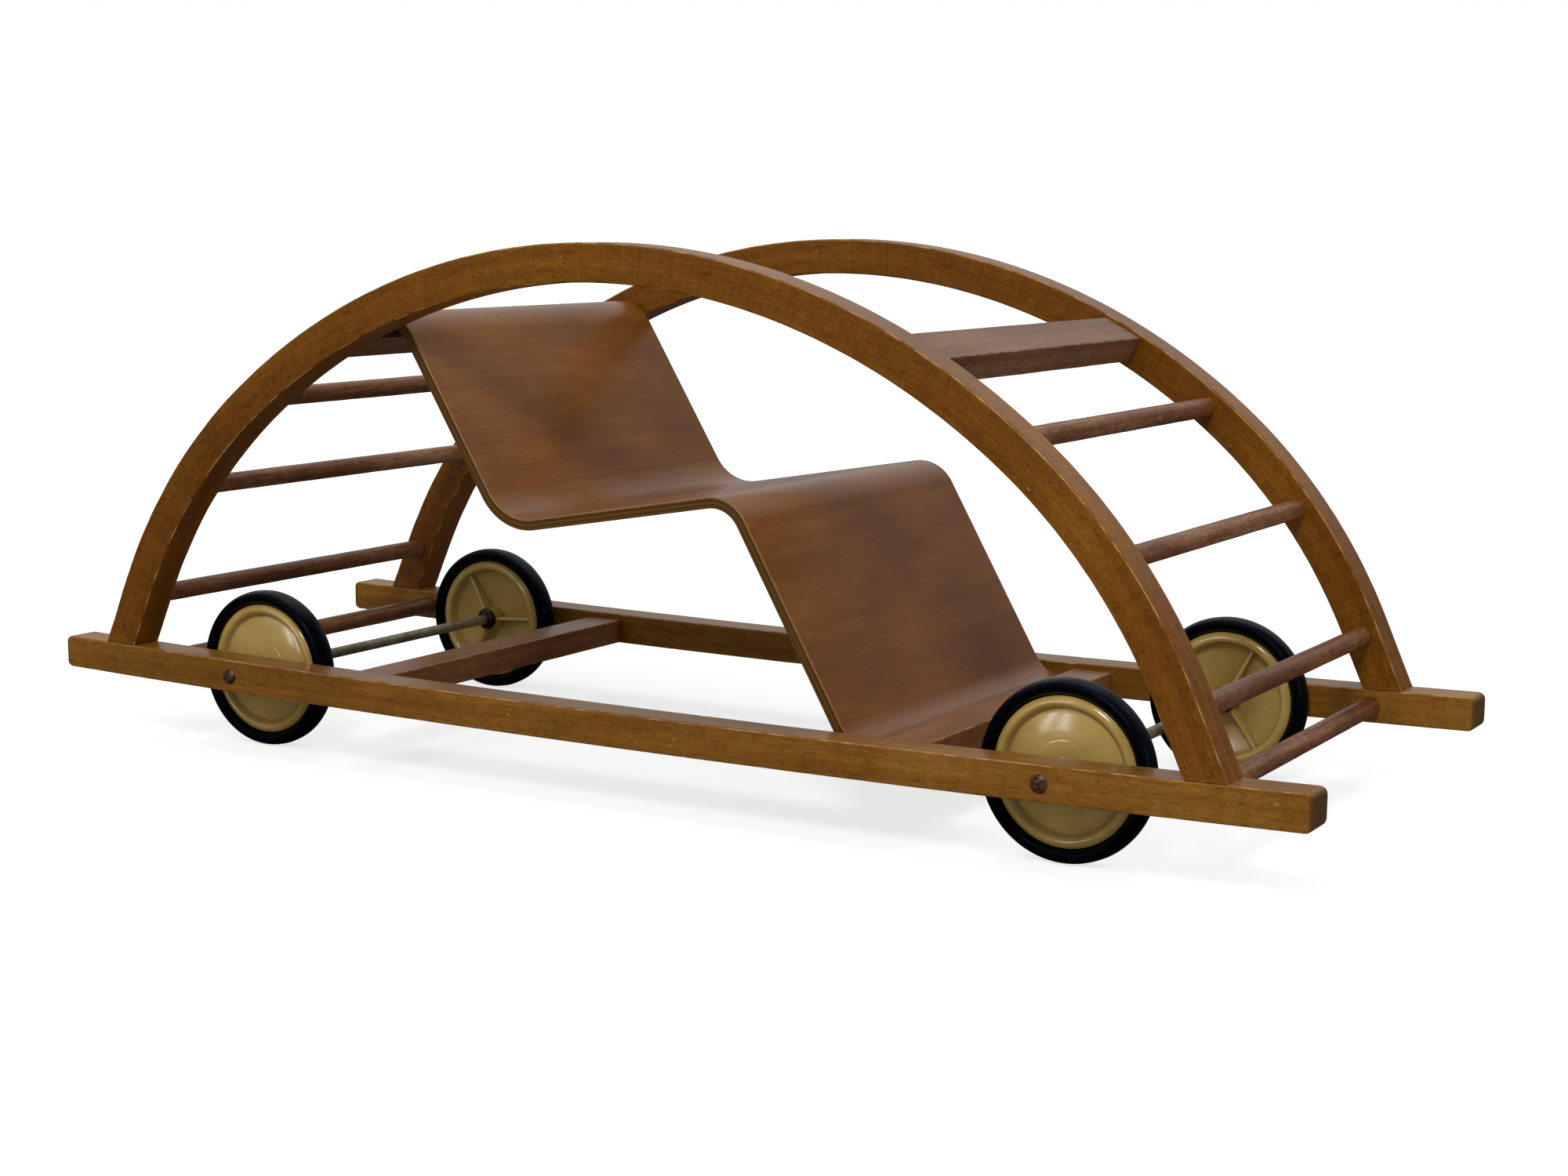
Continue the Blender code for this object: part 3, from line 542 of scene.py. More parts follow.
def bar_mesh(x, z, tilt, thickness):
    """A bar across the cart, turned about its length by tilt, with a tenon on each end."""
    shoulder_y = INNER_Y - GAP
    half_w, half_t = BAR_WIDTH / 2, thickness / 2
    rings = [(y, half_w, half_t, worn_radius(BROKEN_EDGE, y, x))
             for y in stations(-shoulder_y, shoulder_y, END_EASING)]
    tenon = (half_w - TENON_SHOULDER, half_t - TENON_SHOULDER, TENON_EDGE)
    tenon_y = shoulder_y + TENON_DEPTH
    rings = ([(-tenon_y, *tenon), (-shoulder_y, *tenon)] + rings
             + [(shoulder_y, *tenon), (tenon_y, *tenon)])
    placed = []
    for y, half_a, half_b, radius in rings:
        ring = []
        for a, b, wear in eased_ring(half_a, half_b, radius):
            along_x = x + a * math.cos(tilt) + b * math.sin(tilt)
            up = z - a * math.sin(tilt) + b * math.cos(tilt)
            ring.append((along_x, y, up, wear, 0.0))
        placed.append(ring)
    return skin(placed)


bar_finish = lacquered_beech("bleached_lacquer_on_planed_beech", "y",
                             ("#603c23", "#764d30", "#8c6547"), "#a4866a", 0.36, 71, 0.12)
beam_finish = lacquered_beech("yellowed_lacquer_on_planed_beech", "y",
                              ("#6a4020", "#83532c", "#986b40"), "#a4866a", 0.36, 83, 0.12)
for node, tilt, thickness, finish in (
        ("seat_top_bar", -BAR_ANGLE, BAR_THICKNESS, bar_finish),
        ("hand_bar", BAR_ANGLE, BAR_THICKNESS, bar_finish),
        ("cross_beam_rear", 0.0, BEAM_THICKNESS, beam_finish),
        ("cross_beam_front", 0.0, BEAM_THICKNESS, beam_finish)):
    place = middle_of(node)
    fit_piece("planed_" + node, bar_mesh(place.x, place.z, tilt, thickness), finish,
              "frame", [node])


# Seat
# One sheet of 8 mm beech plywood, five veneers thick, pressed hot into a zig-zag of four bends.
# Its two ends are glued into grooves: in the top bar behind the head, and in the front beam.
# The face veneer's grain runs across the cart, under a red-brown stain and a soft lacquer.
PLY_THICKNESS = 0.008
SEAT_WIDTH = 0.302
GROOVE_INSET = 0.0043
TONGUE = 0.009
TOP_LIP = 0.0293
BACK_LENGTH = 0.1792
BACK_ANGLE = math.radians(58.5)
SEAT_ANGLE = math.radians(9.8)
APRON_ANGLE = math.radians(59.95)
BOTTOM_LIP = 0.0237
BENDS = (0.027, 0.040, 0.026, 0.027)
PLY_EDGE = 0.0009


def seat_corners():
    """Corner points (x, z) of the seat's middle line, from the top bar down to the front beam."""
    tangent = Vector((math.cos(BAR_ANGLE), math.sin(BAR_ANGLE)))
    inward = Vector((tangent.y, -tangent.x))
    depth = GROOVE_INSET + PLY_THICKNESS / 2
    mouth = Vector(arch_point(-BAR_ANGLE, BAR_INSET)) + tangent * (BAR_WIDTH / 2) + inward * depth
    corner_top = mouth + tangent * TOP_LIP
    crook = corner_top + BACK_LENGTH * Vector((math.cos(BACK_ANGLE), -math.sin(BACK_ANGLE)))
    beam = middle_of("cross_beam_front")
    beam_mouth = Vector((beam.x - BAR_WIDTH / 2, beam.z + BEAM_THICKNESS / 2 - depth))
    corner_bottom = beam_mouth - Vector((BOTTOM_LIP, 0))
    # The knee is where the seat's slope meets the apron's
    seat_way = Vector((math.cos(SEAT_ANGLE), math.sin(SEAT_ANGLE)))
    apron_way = Vector((math.cos(APRON_ANGLE), -math.sin(APRON_ANGLE)))
    reach = (corner_bottom - crook).cross(apron_way) / seat_way.cross(apron_way)
    return [mouth - tangent * TONGUE, corner_top, crook, crook + seat_way * reach, corner_bottom,
            beam_mouth + Vector((TONGUE, 0))]


def bent_line(corners, bends):
    """Points of a line with rounded corners, each with the line's left-hand normal."""
    line = [(corners[0], corners[1] - corners[0])]
    for before, corner, after, bend in zip(corners, corners[1:], corners[2:], bends):
        come = (corner - before).normalized()
        go = (after - corner).normalized()
        turn = math.atan2(come.x * go.y - come.y * go.x, come.dot(go))
        first = corner - come * bend * math.tan(abs(turn) / 2)
        centre = first + math.copysign(bend, turn) * Vector((-come.y, come.x))
        steps = 28
        for i in range(steps + 1):
            spin = Matrix.Rotation(turn * i / steps, 2)
            line.append((centre + spin @ (first - centre), spin @ come))
    line.append((corners[-1], corners[-1] - corners[-2]))
    return [(point, Vector((-way.y, way.x)).normalized()) for point, way in line]


seat_rings = []
for point, normal in bent_line(seat_corners(), BENDS):
    ring = eased_ring(SEAT_WIDTH / 2, PLY_THICKNESS / 2, PLY_EDGE)
    seat_rings.append([(point.x + normal.x * b, a, point.y + normal.y * b, wear, b / (PLY_THICKNESS / 2))
                       for a, b, wear in ring])


def pressed_plywood(name):
    """Stained beech veneer with grain across the cart, and the veneers' ends along its edges."""
    material, tree, shader = new_material(name)
    place = grain_place(tree, "y")
    clouds = streaks(tree, place, 120, 70, 2, 5)
    bands = streaks(tree, place, 260, 9, 3, 11)
    fibres = streaks(tree, place, 34, 1.5, 3, 17)
    mottle = streaks(tree, place, 30, 12, 3, 29)
    pores = add(tree, "MapRange", (streaks(tree, place, 5, 1.2, 1, 37), 0.60, 0.75))[0]
    specks = add(tree, "MapRange", (streaks(tree, place, 2.6, 2.6, 1, 41), 0.79, 0.82))[0]
    tone = sum_of(tree, 0.0, (bands, 0.20), (clouds, 0.45), (fibres, 0.20), (mottle, 0.15))
    veneer = add(tree, "ValToRGB", (tone,), stops=[
        (0.32, "#5e360b"), (0.50, "#754514"), (0.68, "#8a5823")])["Color"]
    veneer = painted(tree, veneer, pores, 0.3, "#3c2111", "MULTIPLY")
    veneer = painted(tree, veneer, specks, 0.6, "#2c1810")

    # Five veneers: the three whose grain runs towards the edge show dark end grain
    depth = add(tree, "Attribute", attribute_name="ply_depth")["Fac"]
    plies = add(tree, "ValToRGB", (sum_of(tree, 0.5, (depth, 0.5)),), stops=[
        (0.0, "#5e3d1a"), (0.18, "#67451d"), (0.22, "#4e3213"), (0.40, "#573a18"),
        (0.44, "#68461d"), (0.56, "#68461d"), (0.60, "#4e3213"), (0.82, "#573a18"),
        (0.88, "#8f6a3a"), (1.0, "#80592f")])["Color"]
    normal = add(tree, "NewGeometry")["True Normal"]
    sideways = add(tree, "Math", (add(tree, "SeparateXYZ", (normal,))[1],), operation="ABSOLUTE")[0]
    on_edge = add(tree, "MapRange", (sideways, 0.35, 0.75))[0]
    colour = add(tree, "Mix", {0: on_edge, 6: veneer, 7: plies}, data_type="RGBA")[2]
    edge = add(tree, "Attribute", attribute_name="worn_edge")["Fac"]
    broken = streaks(tree, place, 12, 20, 3, 47)
    rubbed = add(tree, "MapRange", (sum_of(tree, 0.0, (edge, broken)), 0.25, 0.6))[0]
    colour = painted(tree, colour, rubbed, 0.6, "#9a6e45")

    relief = sum_of(tree, fibres, (pores, -0.4))
    fine = add(tree, "Bump", {"Height": relief, "Strength": 0.22, "Distance": 0.0001})[0]
    wavy = add(tree, "Bump", {"Height": clouds, "Strength": 0.3, "Distance": 0.002, "Normal": fine})[0]
    fill(tree, shader, {
        "Base Color": colour, "Roughness": sum_of(tree, 0.26, (mottle, 0.16)), "Normal": wavy,
        "Specular IOR Level": 0.15, "Coat Weight": 0.30, "Coat Roughness": 0.20})
    return material


seat_finish = pressed_plywood("stained_lacquered_moulded_beech_plywood")
fit_piece("moulded_seat", skin(seat_rings, ("worn_edge", "ply_depth")), seat_finish,
          "frame", ["plywood_seat"], sharp=50)


# Axles, spacers and axle caps
# Two 8 mm bright steel rods run from rail to rail and never turn. A short tube keeps each wheel
# off its rail, and a pressed steel cap, browned by age, is driven over each end outside.
AXLE_RADIUS = 0.004
AXLE_STUB = 0.0018
AXLE_CHAMFER = 0.0006
SPACER_RADIUS = 0.0070
SPACER_CHAMFER = 0.0004
BORE_RADIUS = 0.0043
CAP_RADIUS = 0.0059
WHEEL_CENTRE_Y = 0.140
HUB_REACH = 0.0092


def turned_mesh(section, steps, axle_x, y, sign, masks=()):
    """Turn a section of (radius, height, ...) about an axle; height runs outwards from y."""
    mesh = bpy.data.meshes.new("turned")
    count = len(section)
    points, faces = [], []
    for step in range(steps):
        angle = 2 * math.pi * step / steps
        for radius, height, *_ in section:
            points.append((axle_x + radius * math.cos(angle), y + sign * height,
                           AXLE_HEIGHT + radius * math.sin(angle)))
        first, second = step * count, (step + 1) % steps * count
        for i in range(count):
            j = (i + 1) % count
            faces.append((first + i, first + j, second + j, second + i))
    mesh.from_pydata(points, [], faces)
    for column, label in enumerate(masks, 2):
        mask = mesh.attributes.new(label, "FLOAT", "POINT")
        mask.data.foreach_set("value", [entry[column] for entry in section] * steps)
    shell = bmesh.new()
    shell.from_mesh(mesh)
    bmesh.ops.remove_doubles(shell, verts=shell.verts, dist=0.00001)
    bmesh.ops.dissolve_degenerate(shell, edges=shell.edges, dist=0.00001)
    shell.to_mesh(mesh)
    shell.free()
    return mesh


def worn_steel(name, tones, roughness, metallic, patch_mm, pitting):
    """Old plain steel: blotched by skin oil and rust, with fine turning marks and pits."""
    material, tree, shader = new_material(name)
    place = add(tree, "TexCoord")["Object"]
    patches = add(tree, "TexNoise", {
        "Vector": place, "Scale": 1000 / patch_mm, "Detail": 5.0, "Roughness": 0.6})["Fac"]
    pits = add(tree, "TexNoise", {"Vector": place, "Scale": 900.0, "Detail": 2.0})["Fac"]
    marks = streaks(tree, grain_place(tree, "y"), 0.7, 40, 2, 3)
    tone = sum_of(tree, 0.0, (patches, 0.8), (marks, 0.25))
    colour = add(tree, "ValToRGB", (tone,), stops=[
        (0.36, tones[0]), (0.52, tones[1]), (0.68, tones[2])])["Color"]
    relief = sum_of(tree, marks, (pits, pitting))
    bump = add(tree, "Bump", {"Height": relief, "Strength": 0.35, "Distance": 0.00008})[0]
    fill(tree, shader, {
        "Base Color": colour, "Roughness": sum_of(tree, roughness - 0.15, (patches, 0.3)),
        "Normal": bump, "Metallic": metallic})
    return material


axle_finish = worn_steel("drawn_mild_steel_dulled_by_age", ("#5a523e", "#857c64", "#a0977e"),
                         0.42, 0.6, 16, 0.6)
cap_finish = worn_steel("pressed_steel_browned_by_age", ("#2f1d0f", "#573b26", "#86674c"),
                        0.45, 0.55, 3, 1.4)
axle_reach = WIDTH / 2 + AXLE_STUB
axle_end = AXLE_RADIUS - AXLE_CHAMFER
axle_section = [(0, -axle_reach), (axle_end, -axle_reach), (AXLE_RADIUS, AXLE_CHAMFER - axle_reach),
                (AXLE_RADIUS, axle_reach - AXLE_CHAMFER), (axle_end, axle_reach), (0, axle_reach)]
cap_section = [(0, 0.0029), (0.0014, 0.0028), (0.0028, 0.0025), (0.0040, 0.0020), (0.0050, 0.0013),
               (0.0056, 0.0007), (CAP_RADIUS, GAP), (BORE_RADIUS, GAP), (BORE_RADIUS, 0.0021), (0, 0.0021)]
spacer_length = INNER_Y - WHEEL_CENTRE_Y - HUB_REACH - 2 * GAP
spacer_end = SPACER_RADIUS - SPACER_CHAMFER
spacer_section = [(BORE_RADIUS, 0), (spacer_end, 0), (SPACER_RADIUS, SPACER_CHAMFER),
                  (SPACER_RADIUS, spacer_length - SPACER_CHAMFER), (spacer_end, spacer_length),
                  (BORE_RADIUS, spacer_length)]
for end, axle_x in AXLE_X.items():
    rod = turned_mesh(axle_section, 40, axle_x, 0, 1)
    fit_piece("steel_axle_" + end, rod, axle_finish, "frame", ["axle_" + end])
    for side, sign in SIDES.items():
        tag = f"{end}_{side}"
        cap = turned_mesh(cap_section, 40, axle_x, sign * WIDTH / 2, sign)
        fit_piece("domed_cap_" + tag, cap, cap_finish, "frame", ["axle_cap_" + tag])
        spacer_y = sign * (WHEEL_CENTRE_Y + HUB_REACH + GAP)
        spacer = turned_mesh(spacer_section, 40, axle_x, spacer_y, sign)
        fit_piece("spacer_tube_" + tag, spacer, axle_finish, "frame", ["wheel_spacer_" + tag])


# Wheels
# Discs of cream polystyrene, moulded in one shot: a round bead at the rim, a sharp groove, and a
# shallow dome on the outer face; a dish with a hub and three thin ribs on the inner one. They
# turn freely on the axle. Geometry Nodes set the ribs round the hub.
RIM_RADIUS = 0.0486
TYRE_SEAT = 0.0465
FLANGE = 0.0050
RIB_THICKNESS = 0.0022
RIB_EASING = 0.0006
RIB_START = math.radians(-3.0)
# The front wheels came to rest turned on by half the space between two ribs
RESTING_TURN = {"rear": 0.0, "front": math.radians(60.0)}


def softened(points, steps=5):
    """A smooth line through points, with as many numbers as they have."""
    ends = [points[0]] + points + [points[-1]]
    line = [points[0]]
    for p0, p1, p2, p3 in zip(ends, ends[1:], ends[2:], ends[3:]):
        for i in range(1, steps + 1):
            t = i / steps
            line.append(tuple(
                0.5 * (2 * b + (c - a) * t + (2 * a - 5 * b + 4 * c - d) * t * t
                       + (3 * b - a - 3 * c + d) * t ** 3)
                for a, b, c, d in zip(p0, p1, p2, p3)))
    return line


# (radius, height towards the rail, painted shade and grime) down the outer face, round the rim and back
# inside
# The third number darkens the groove, the hub's crevice and the inner dish: painted shade, with a little dirt
hub_outside = softened([(0.0080, 0.0092, 0.3), (0.0085, 0.0086, 0.4), (0.0087, 0.0077, 0.8),
                        (0.0098, 0.0071, 0.5), (0.0125, 0.0070, 0.2)], 3)
step_ring = softened([(0.0186, 0.0069, 0.0), (0.0198, 0.00685, 0.0), (0.0209, 0.0066, 0.2),
                      (0.0221, 0.00655, 0.0)], 3)
dome = softened([(0.0221, 0.00655, 0.0), (0.0270, 0.0060, 0.0), (0.0330, 0.0049, 0.0),
                 (0.0372, 0.0038, 0.1), (0.0391, 0.0031, 0.3), (0.0400, 0.0027, 0.7)])
bead = softened([(0.0400, 0.0027, 0.7), (0.0409, 0.0036, 0.5), (0.0421, 0.0061, 0.2),
                 (0.0442, 0.0075, 0.0), (0.0463, 0.0069, 0.0), (0.0479, 0.0057, 0.2),
                 (RIM_RADIUS, 0.0052, 0.6)])
rim = [(RIM_RADIUS, FLANGE, 1.0), (TYRE_SEAT, FLANGE, 1.0), (TYRE_SEAT, -FLANGE, 1.0),
       (RIM_RADIUS, -FLANGE, 1.0)]
inner_bead = softened([(RIM_RADIUS, -0.0052, 0.6), (0.0479, -0.0058, 0.4), (0.0463, -0.0069, 0.3),
                       (0.0443, -0.0075, 0.3), (0.0425, -0.0071, 0.3), (0.0412, -0.0050, 0.4),
                       (0.0405, -0.0018, 0.5), (0.0394, 0.0003, 0.9)], 4)
dish = softened([(0.0394, 0.0003, 0.9), (0.0370, 0.0008, 0.6), (0.0300, 0.0022, 0.45), (0.0205, 0.0036, 0.45),
                 (0.0110, 0.0042, 0.5), (0.0088, 0.0040, 0.8), (0.0085, 0.0030, 0.8)], 4)
hub_inside = [(0.0085, -0.0088, 0.4), (0.0081, -HUB_REACH, 0.3), (BORE_RADIUS, -HUB_REACH, 0.6)]
wheel_section = ([(BORE_RADIUS, HUB_REACH, 0.6)] + hub_outside + step_ring + dome[1:] + bead[1:] + rim
                 + inner_bead + dish[1:] + hub_inside)

# One rib as rings along its length: (radius, back, top), its top edge rounded
rib_stations = [(0.0066, 0.0030, -0.0083), (0.0100, 0.0030, -0.0079), (0.0160, 0.0028, -0.0066),
                (0.0230, 0.0022, -0.0055), (0.0320, 0.0010, -0.0046), (0.0380, -0.0006, -0.0042),
                (0.0428, -0.0030, -0.0041)]


def spoke_tree():
    """The tree that sets a number of equal spokes round a hub."""
    tree, given = new_tree("spokes round a hub", {
        "Count": "Int", "Start angle": "Float", "Material": "Material"})
    places = add(tree, "GeometryNodeMeshLine", {"Count": given["Count"], "Offset": (0, 0, 0)})[0]
    number = add(tree, "GeometryNodeInputIndex")[0]
    share = add(tree, "Math", (number, given["Count"]), operation="DIVIDE")[0]
    angle = sum_of(tree, given["Start angle"], (share, 2 * math.pi))
    turn = add(tree, "CombineXYZ", {2: angle})[0]
    spokes = add(tree, "GeometryNodeInstanceOnPoints", {
        "Points": places, "Instance": given["Geometry"], "Rotation": turn})[0]
    end_tree(tree, spokes, given["Material"])
    return tree


def moulded_polystyrene(name):
    """Cream plastic, yellowed and still glossy, with painted shade and some grime in its grooves and inner
    dish, and small brown stains.
    """
    material, tree, shader = new_material(name)
    place = add(tree, "TexCoord")["Object"]
    clouds = add(tree, "TexNoise", {"Vector": place, "Scale": 32.0, "Detail": 4.0})["Fac"]
    scuffs = add(tree, "TexNoise", {
        "Vector": place, "Scale": 160.0, "Detail": 5.0, "Roughness": 0.65, "Distortion": 0.6})["Fac"]
    stains = add(tree, "TexNoise", {"Vector": place, "Scale": 210.0, "Detail": 2.0})["Fac"]
    stains = add(tree, "MapRange", (stains, 0.73, 0.79))[0]
    tone = sum_of(tree, 0.0, (clouds, 0.75), (scuffs, 0.3))
    colour = add(tree, "ValToRGB", (tone,), stops=[
        (0.36, "#ad8c48"), (0.52, "#b89954"), (0.70, "#c2a662")])["Color"]
    # Painted shade: grooves, the hub's crevice and the inner dish are darkened, made patchy like dirt
    shade_and_grime = add(tree, "Attribute", attribute_name="shade_and_grime")["Fac"]
    patchy = sum_of(tree, 0.15, (clouds, 0.9))
    shade_and_dirt = add(tree, "Math", (shade_and_grime, patchy), operation="MULTIPLY", use_clamp=True)[0]
    colour = painted(tree, colour, shade_and_dirt, 0.7, "#6b4c1d")
    colour = painted(tree, colour, stains, 0.5, "#6d5023")
    soft = add(tree, "Bump", {"Height": clouds, "Strength": 0.15, "Distance": 0.0004})[0]
    fine = add(tree, "Bump", {"Height": scuffs, "Strength": 0.08, "Distance": 0.00006, "Normal": soft})[0]
    fill(tree, shader, {
        "Base Color": colour, "Roughness": sum_of(tree, 0.08, (scuffs, 0.18)), "Normal": fine,
        "IOR": 1.55, "Subsurface Weight": 0.06, "Subsurface Radius": (0.004, 0.003, 0.0015)})
    return material


def rib_mesh():
    """One rib, lying along +X from the wheel's middle."""
    rings = []
    for radius, back, top in rib_stations:
        middle, half = (back + top) / 2, (back - top) / 2
        ring = eased_ring(RIB_THICKNESS / 2, half, RIB_EASING)
        rings.append([(radius, a, middle + b, 0.0) for a, b, _ in ring])
    return skin(rings, ("shade_and_grime",))


wheel_finish = moulded_polystyrene("yellowed_moulded_polystyrene")
ribs_at_origin = grown(rib_mesh(), spoke_tree(), {
    "Count": 3, "Start angle": RIB_START, "Material": wheel_finish})


def joined(meshes):
    """Several meshes as one."""
    shell = bmesh.new()
    for mesh in meshes:
        shell.from_mesh(mesh)
    whole = bpy.data.meshes.new("joined")
    shell.to_mesh(whole)
    shell.free()
    return whole


for end, axle_x in AXLE_X.items():
    for side, sign in SIDES.items():
        tag = f"{end}_{side}"
        disc = turned_mesh(wheel_section, 112, axle_x, sign * WHEEL_CENTRE_Y, sign, ("shade_and_grime",))
        ribs = ribs_at_origin.copy()
        stand = Matrix.Translation((axle_x, sign * WHEEL_CENTRE_Y, AXLE_HEIGHT))
        turned = Matrix.Rotation(RESTING_TURN[end], 4, "Z")
        ribs.transform(stand @ Matrix.Rotation(math.radians(-90 * sign), 4, "X") @ turned)
        fit_piece("moulded_wheel_" + tag, joined([disc, ribs]), wheel_finish,
                  f"{end}_{side}_wheel", ["wheel_" + tag], sharp=30)


# Tyres
# Solid black rubber rings, moulded and stretched over the rims. They have a rounded tread, a
# faint mould line round the middle, and a narrow lip beside the rim. The rubber has a navy cast
# where it catches the light.
TYRE_RADIUS = 0.059
TYRE_HALF_WIDTH = 0.0094
TYRE_LIP = 0.0489
TYRE_INSIDE = 0.0468
INNER_HALF_WIDTH = 0.0047
SQUARENESS = 2.5
MOULD_LINE = 0.00018


def tyre_section():
    """Closed section, from the lip outside over the tread to the lip inside, then the seat."""
    middle = (TYRE_RADIUS + TYRE_LIP) / 2
    reach = TYRE_RADIUS - middle
    steps = 44
    section = []
    for i in range(steps + 1):
        angle = math.radians(-62) + math.radians(304) * i / steps
        across, outwards = math.cos(angle), math.sin(angle)
        square = (abs(across) ** SQUARENESS + abs(outwards) ** SQUARENESS) ** (-1 / SQUARENESS)
        radius = middle + reach * square * outwards
        height = TYRE_HALF_WIDTH * square * across
        if outwards < 0:
            radius = max(TYRE_LIP, radius)
        elif i != steps // 2:
            # The tread lies a little below the mould line, which has the full radius
            radius -= MOULD_LINE
        section.append((radius, height))
    return ([(TYRE_INSIDE, INNER_HALF_WIDTH), (TYRE_LIP, INNER_HALF_WIDTH)] + section
            + [(TYRE_LIP, -INNER_HALF_WIDTH), (TYRE_INSIDE, -INNER_HALF_WIDTH)])


def moulded_rubber(name):
    """Black rubber with a thin veil of dust, matt and finely crumbled."""
    material, tree, shader = new_material(name)
    place = add(tree, "TexCoord")["Object"]
    dust = add(tree, "TexNoise", {"Vector": place, "Scale": 70.0, "Detail": 6.0, "Roughness": 0.7})["Fac"]
    crumbs = add(tree, "TexNoise", {"Vector": place, "Scale": 650.0, "Detail": 3.0})["Fac"]
    colour = add(tree, "ValToRGB", (dust,), stops=[
        (0.40, "#010203"), (0.60, "#030509"), (0.78, "#0a0e17")])["Color"]
    rough = add(tree, "Bump", {"Height": crumbs, "Strength": 0.25, "Distance": 0.00015})[0]
    wavy = add(tree, "Bump", {"Height": dust, "Strength": 0.3, "Distance": 0.0006, "Normal": rough})[0]
    fill(tree, shader, {
        "Base Color": colour, "Roughness": sum_of(tree, 0.28, (dust, 0.25)), "Normal": wavy,
        "Specular IOR Level": 0.14, "Specular Tint": linear("#8fa6d8")})
    return material


tyre_finish = moulded_rubber("moulded_black_rubber")
for end, axle_x in AXLE_X.items():
    for side, sign in SIDES.items():
        tag = f"{end}_{side}"
        tyre = turned_mesh(tyre_section(), 128, axle_x, sign * WHEEL_CENTRE_Y, sign)
        fit_piece("rubber_tyre_" + tag, tyre, tyre_finish, f"{end}_{side}_wheel",
                  ["tyre_" + tag], sharp=50)


# Push nuts
# Domed spring-steel nuts, pressed on to the axle inside each wheel. Once pushed on, their teeth
# bite into the rod and keep the wheel from sliding inwards. Black finish, partly rubbed off.
nut_finish = worn_steel("blackened_spring_steel", ("#0d0b09", "#1d1712", "#3a2c20"), 0.4, 0.5, 4, 1.0)
nut_section = [(BORE_RADIUS, 0), (0.0088, 0), (0.0091, -0.0003), (0.0091, -0.0012), (0.0086, -0.0016),
               (0.0083, -0.0020), (0.0078, -0.0029), (0.0069, -0.0038), (0.0058, -0.0045), (0.0048, -0.0049),
               (BORE_RADIUS, -0.0050)]
for end, axle_x in AXLE_X.items():
    for side, sign in SIDES.items():
        tag = f"{end}_{side}"
        nut_y = sign * (WHEEL_CENTRE_Y - HUB_REACH - GAP)
        nut = turned_mesh(nut_section, 48, axle_x, nut_y, sign)
        fit_piece("domed_push_nut_" + tag, nut, nut_finish, "frame", ["push_nut_" + tag])


# Camera, floor and light
# The camera stands where the photograph was taken from. The floor and the world are white to the
# camera; reflections see a dark front and a bright wall high behind the cart. A key lamp stands in
# front on the right, soft lamps fill from the left, the right and above.
AZIMUTH, ELEVATION, ROLL = math.radians(30.544), math.radians(8.597), math.radians(0.405)
EYE = (0.9481, -1.5433, 0.4036)
SENSOR_WIDTH_MM, LENS_MM = 36.0, 57.27
FLOOR_REACH = 30
WALL_DIRECTION = (-0.35, 0.55, 0.76)
LAMPS_AIM = Vector((0, 0, 0.2))

flat = math.cos(ELEVATION)
back = Vector((math.sin(AZIMUTH) * flat, -math.cos(AZIMUTH) * flat, math.sin(ELEVATION)))
level = Vector((0, 0, 1)).cross(back).normalized()
upright = back.cross(level)
right = level * math.cos(ROLL) + upright * math.sin(ROLL)
top = upright * math.cos(ROLL) - level * math.sin(ROLL)
camera = bpy.data.objects.new("camera", bpy.data.cameras.new("camera"))
camera.data.sensor_width = SENSOR_WIDTH_MM
camera.data.lens = LENS_MM
camera.matrix_world = Matrix.Translation(EYE) @ Matrix((right, top, back)).transposed().to_4x4()
bpy.context.scene.collection.objects.link(camera)
bpy.context.scene.camera = camera
bpy.context.scene.view_settings.view_transform = "Standard"

floor_mesh = bpy.data.meshes.new("floor")
corners = [(-FLOOR_REACH, -FLOOR_REACH, 0), (FLOOR_REACH, -FLOOR_REACH, 0),
           (FLOOR_REACH, FLOOR_REACH, 0), (-FLOOR_REACH, FLOOR_REACH, 0)]
floor_mesh.from_pydata(corners, [], [(0, 1, 2, 3)])
floor = bpy.data.objects.new("floor", floor_mesh)
bpy.context.scene.collection.objects.link(floor)
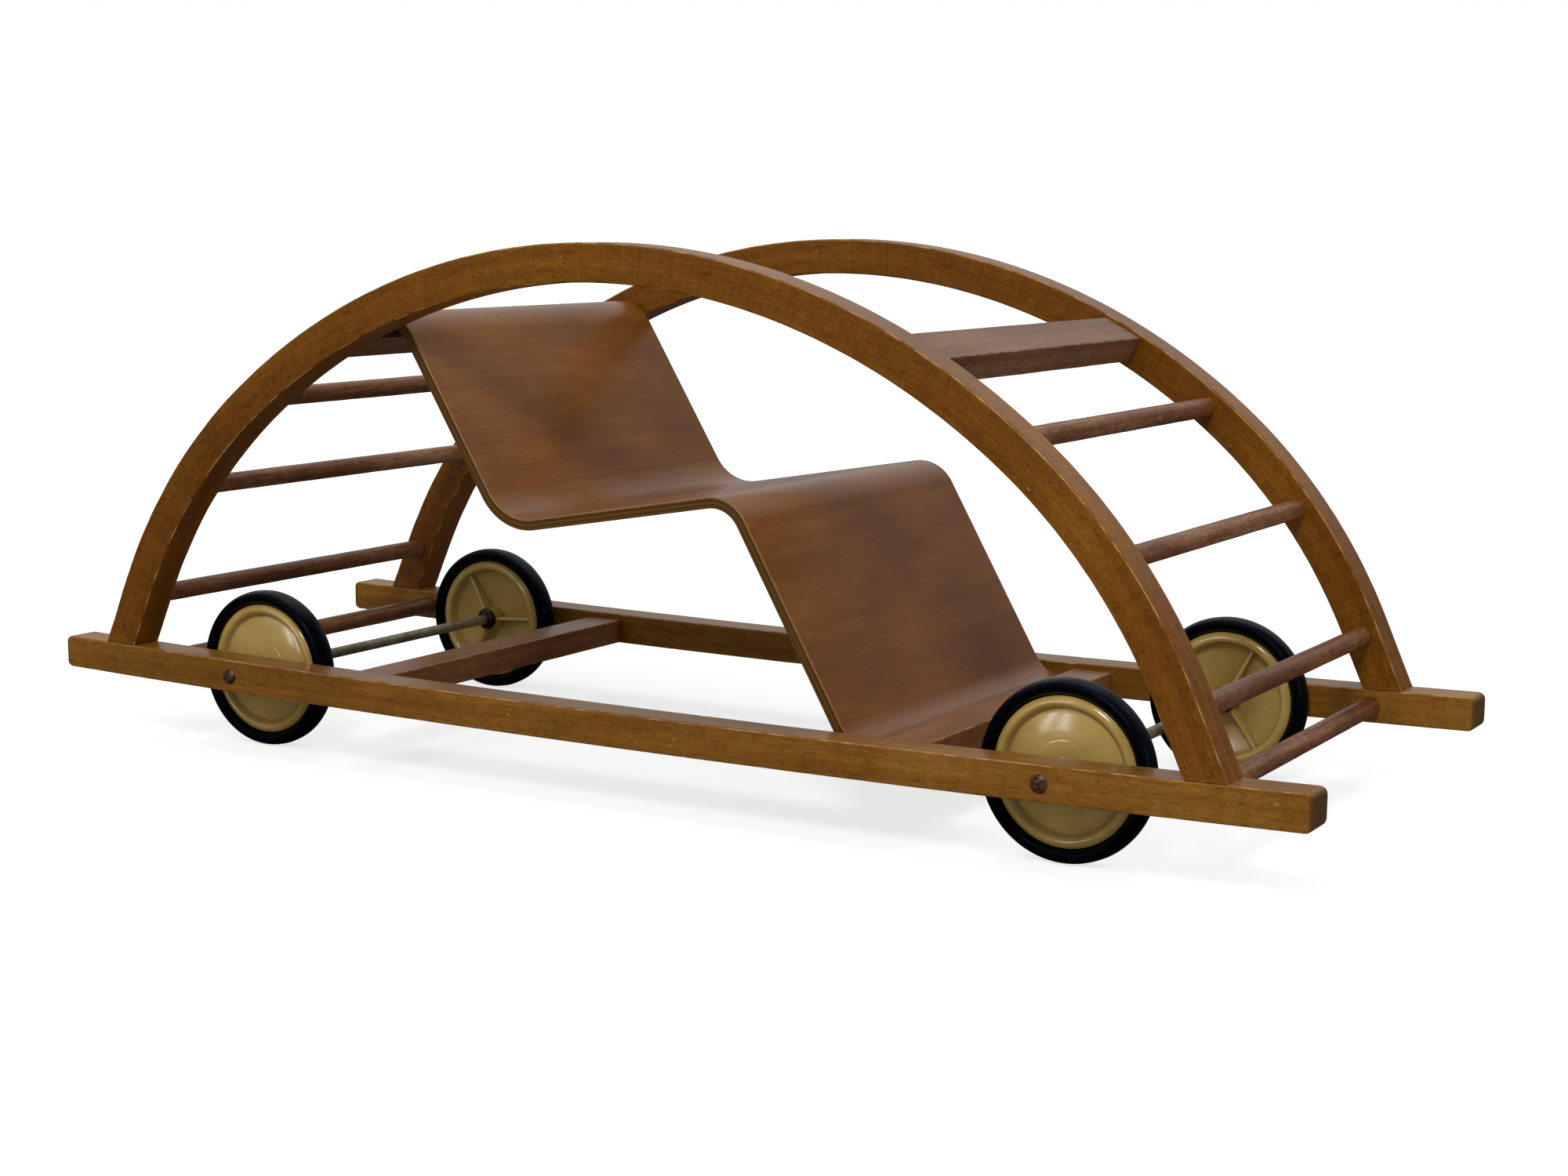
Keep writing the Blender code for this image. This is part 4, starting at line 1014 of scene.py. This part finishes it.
# The paper glows white to the camera, less so near the cart, where its soft shadow shows
paper, tree, shader = new_material("white_paper_floor")
tree.nodes.remove(shader)
rays = add(tree, "LightPath")
seen = rays["Is Camera Ray"]
paper_tone = sum_of(tree, 0.40, (seen, 0.05), (rays["Is Glossy Ray"], -0.34))
pale = add(tree, "BsdfDiffuse", {"Color": paper_tone})[0]
place = add(tree, "TexCoord")["Object"]
distance = add(tree, "VectorMath", (place,), operation="LENGTH")["Value"]
fade = add(tree, "MapRange", {
    "Value": distance, "From Min": 0.4, "From Max": 2.6, "To Min": 0.72, "To Max": 1.0},
    interpolation_type="SMOOTHSTEP")[0]
glow = add(tree, "Emission", {"Color": (1, 1, 1, 1), "Strength": sum_of(tree, 0.0, (seen, fade))})[0]
both = add(tree, "AddShader", (pale, glow))[0]
fill(tree, tree.nodes["Material Output"], {"Surface": both})
floor_mesh.materials.append(paper)

world = bpy.data.worlds.new("white_studio")
bpy.context.scene.world = world
world.use_nodes = True
tree = world.node_tree
rays = add(tree, "LightPath")
direction = add(tree, "TexCoord")["Generated"]
facing = add(tree, "VectorMath", (direction, WALL_DIRECTION), operation="DOT_PRODUCT")["Value"]
bright_wall = add(tree, "MapRange", {
    "Value": facing, "From Min": 0.3, "From Max": 1.0, "To Min": 0.03, "To Max": 0.75},
    interpolation_type="SMOOTHSTEP")[0]
strength = add(tree, "Mix", {0: rays["Is Glossy Ray"], 2: 0.48, 3: bright_wall})[0]
strength = add(tree, "Math", (rays["Is Camera Ray"], strength), operation="MAXIMUM")[0]
fill(tree, tree.nodes["Background"], {"Color": (1, 1, 1, 1), "Strength": strength})

wheels_only = bpy.data.collections.new("wheels_only")
for piece in bpy.data.objects:
    if piece.name.startswith("moulded_wheel_"):
        wheels_only.objects.link(piece)
for name, place, size, power in (
        ("key_lamp", (0.85, -2.1, 2.0), (0.6, 0.6), 31),
        ("left_softbox", (-1.6, -2.4, 1.5), (1.8, 1.8), 9),
        ("right_softbox", (2.6, 0.2, 0.7), (1.4, 1.4), 9),
        ("left_pane", (-1.12, -2.29, 0.62), (0.2, 0.8), 4.8),
        ("right_pane", (-0.75, -2.5, 0.62), (0.2, 0.8), 4.8),
        ("top_softbox", (-0.2, 0.5, 2.4), (2.0, 2.0), 15)):
    lamp = bpy.data.lights.new(name, "AREA")
    lamp.shape = "RECTANGLE"
    lamp.size, lamp.size_y = size
    lamp.energy = power
    holder = bpy.data.objects.new(name, lamp)
    if "pane" in name:
        # The two window panes only show as soft streaks in the shiny plastic of the wheels
        holder.visible_diffuse = False
        holder.light_linking.receiver_collection = wheels_only
    holder.location = place
    holder.rotation_euler = (LAMPS_AIM - Vector(place)).to_track_quat("-Z", "Y").to_euler()
    bpy.context.scene.collection.objects.link(holder)

bpy.context.view_layer.update()
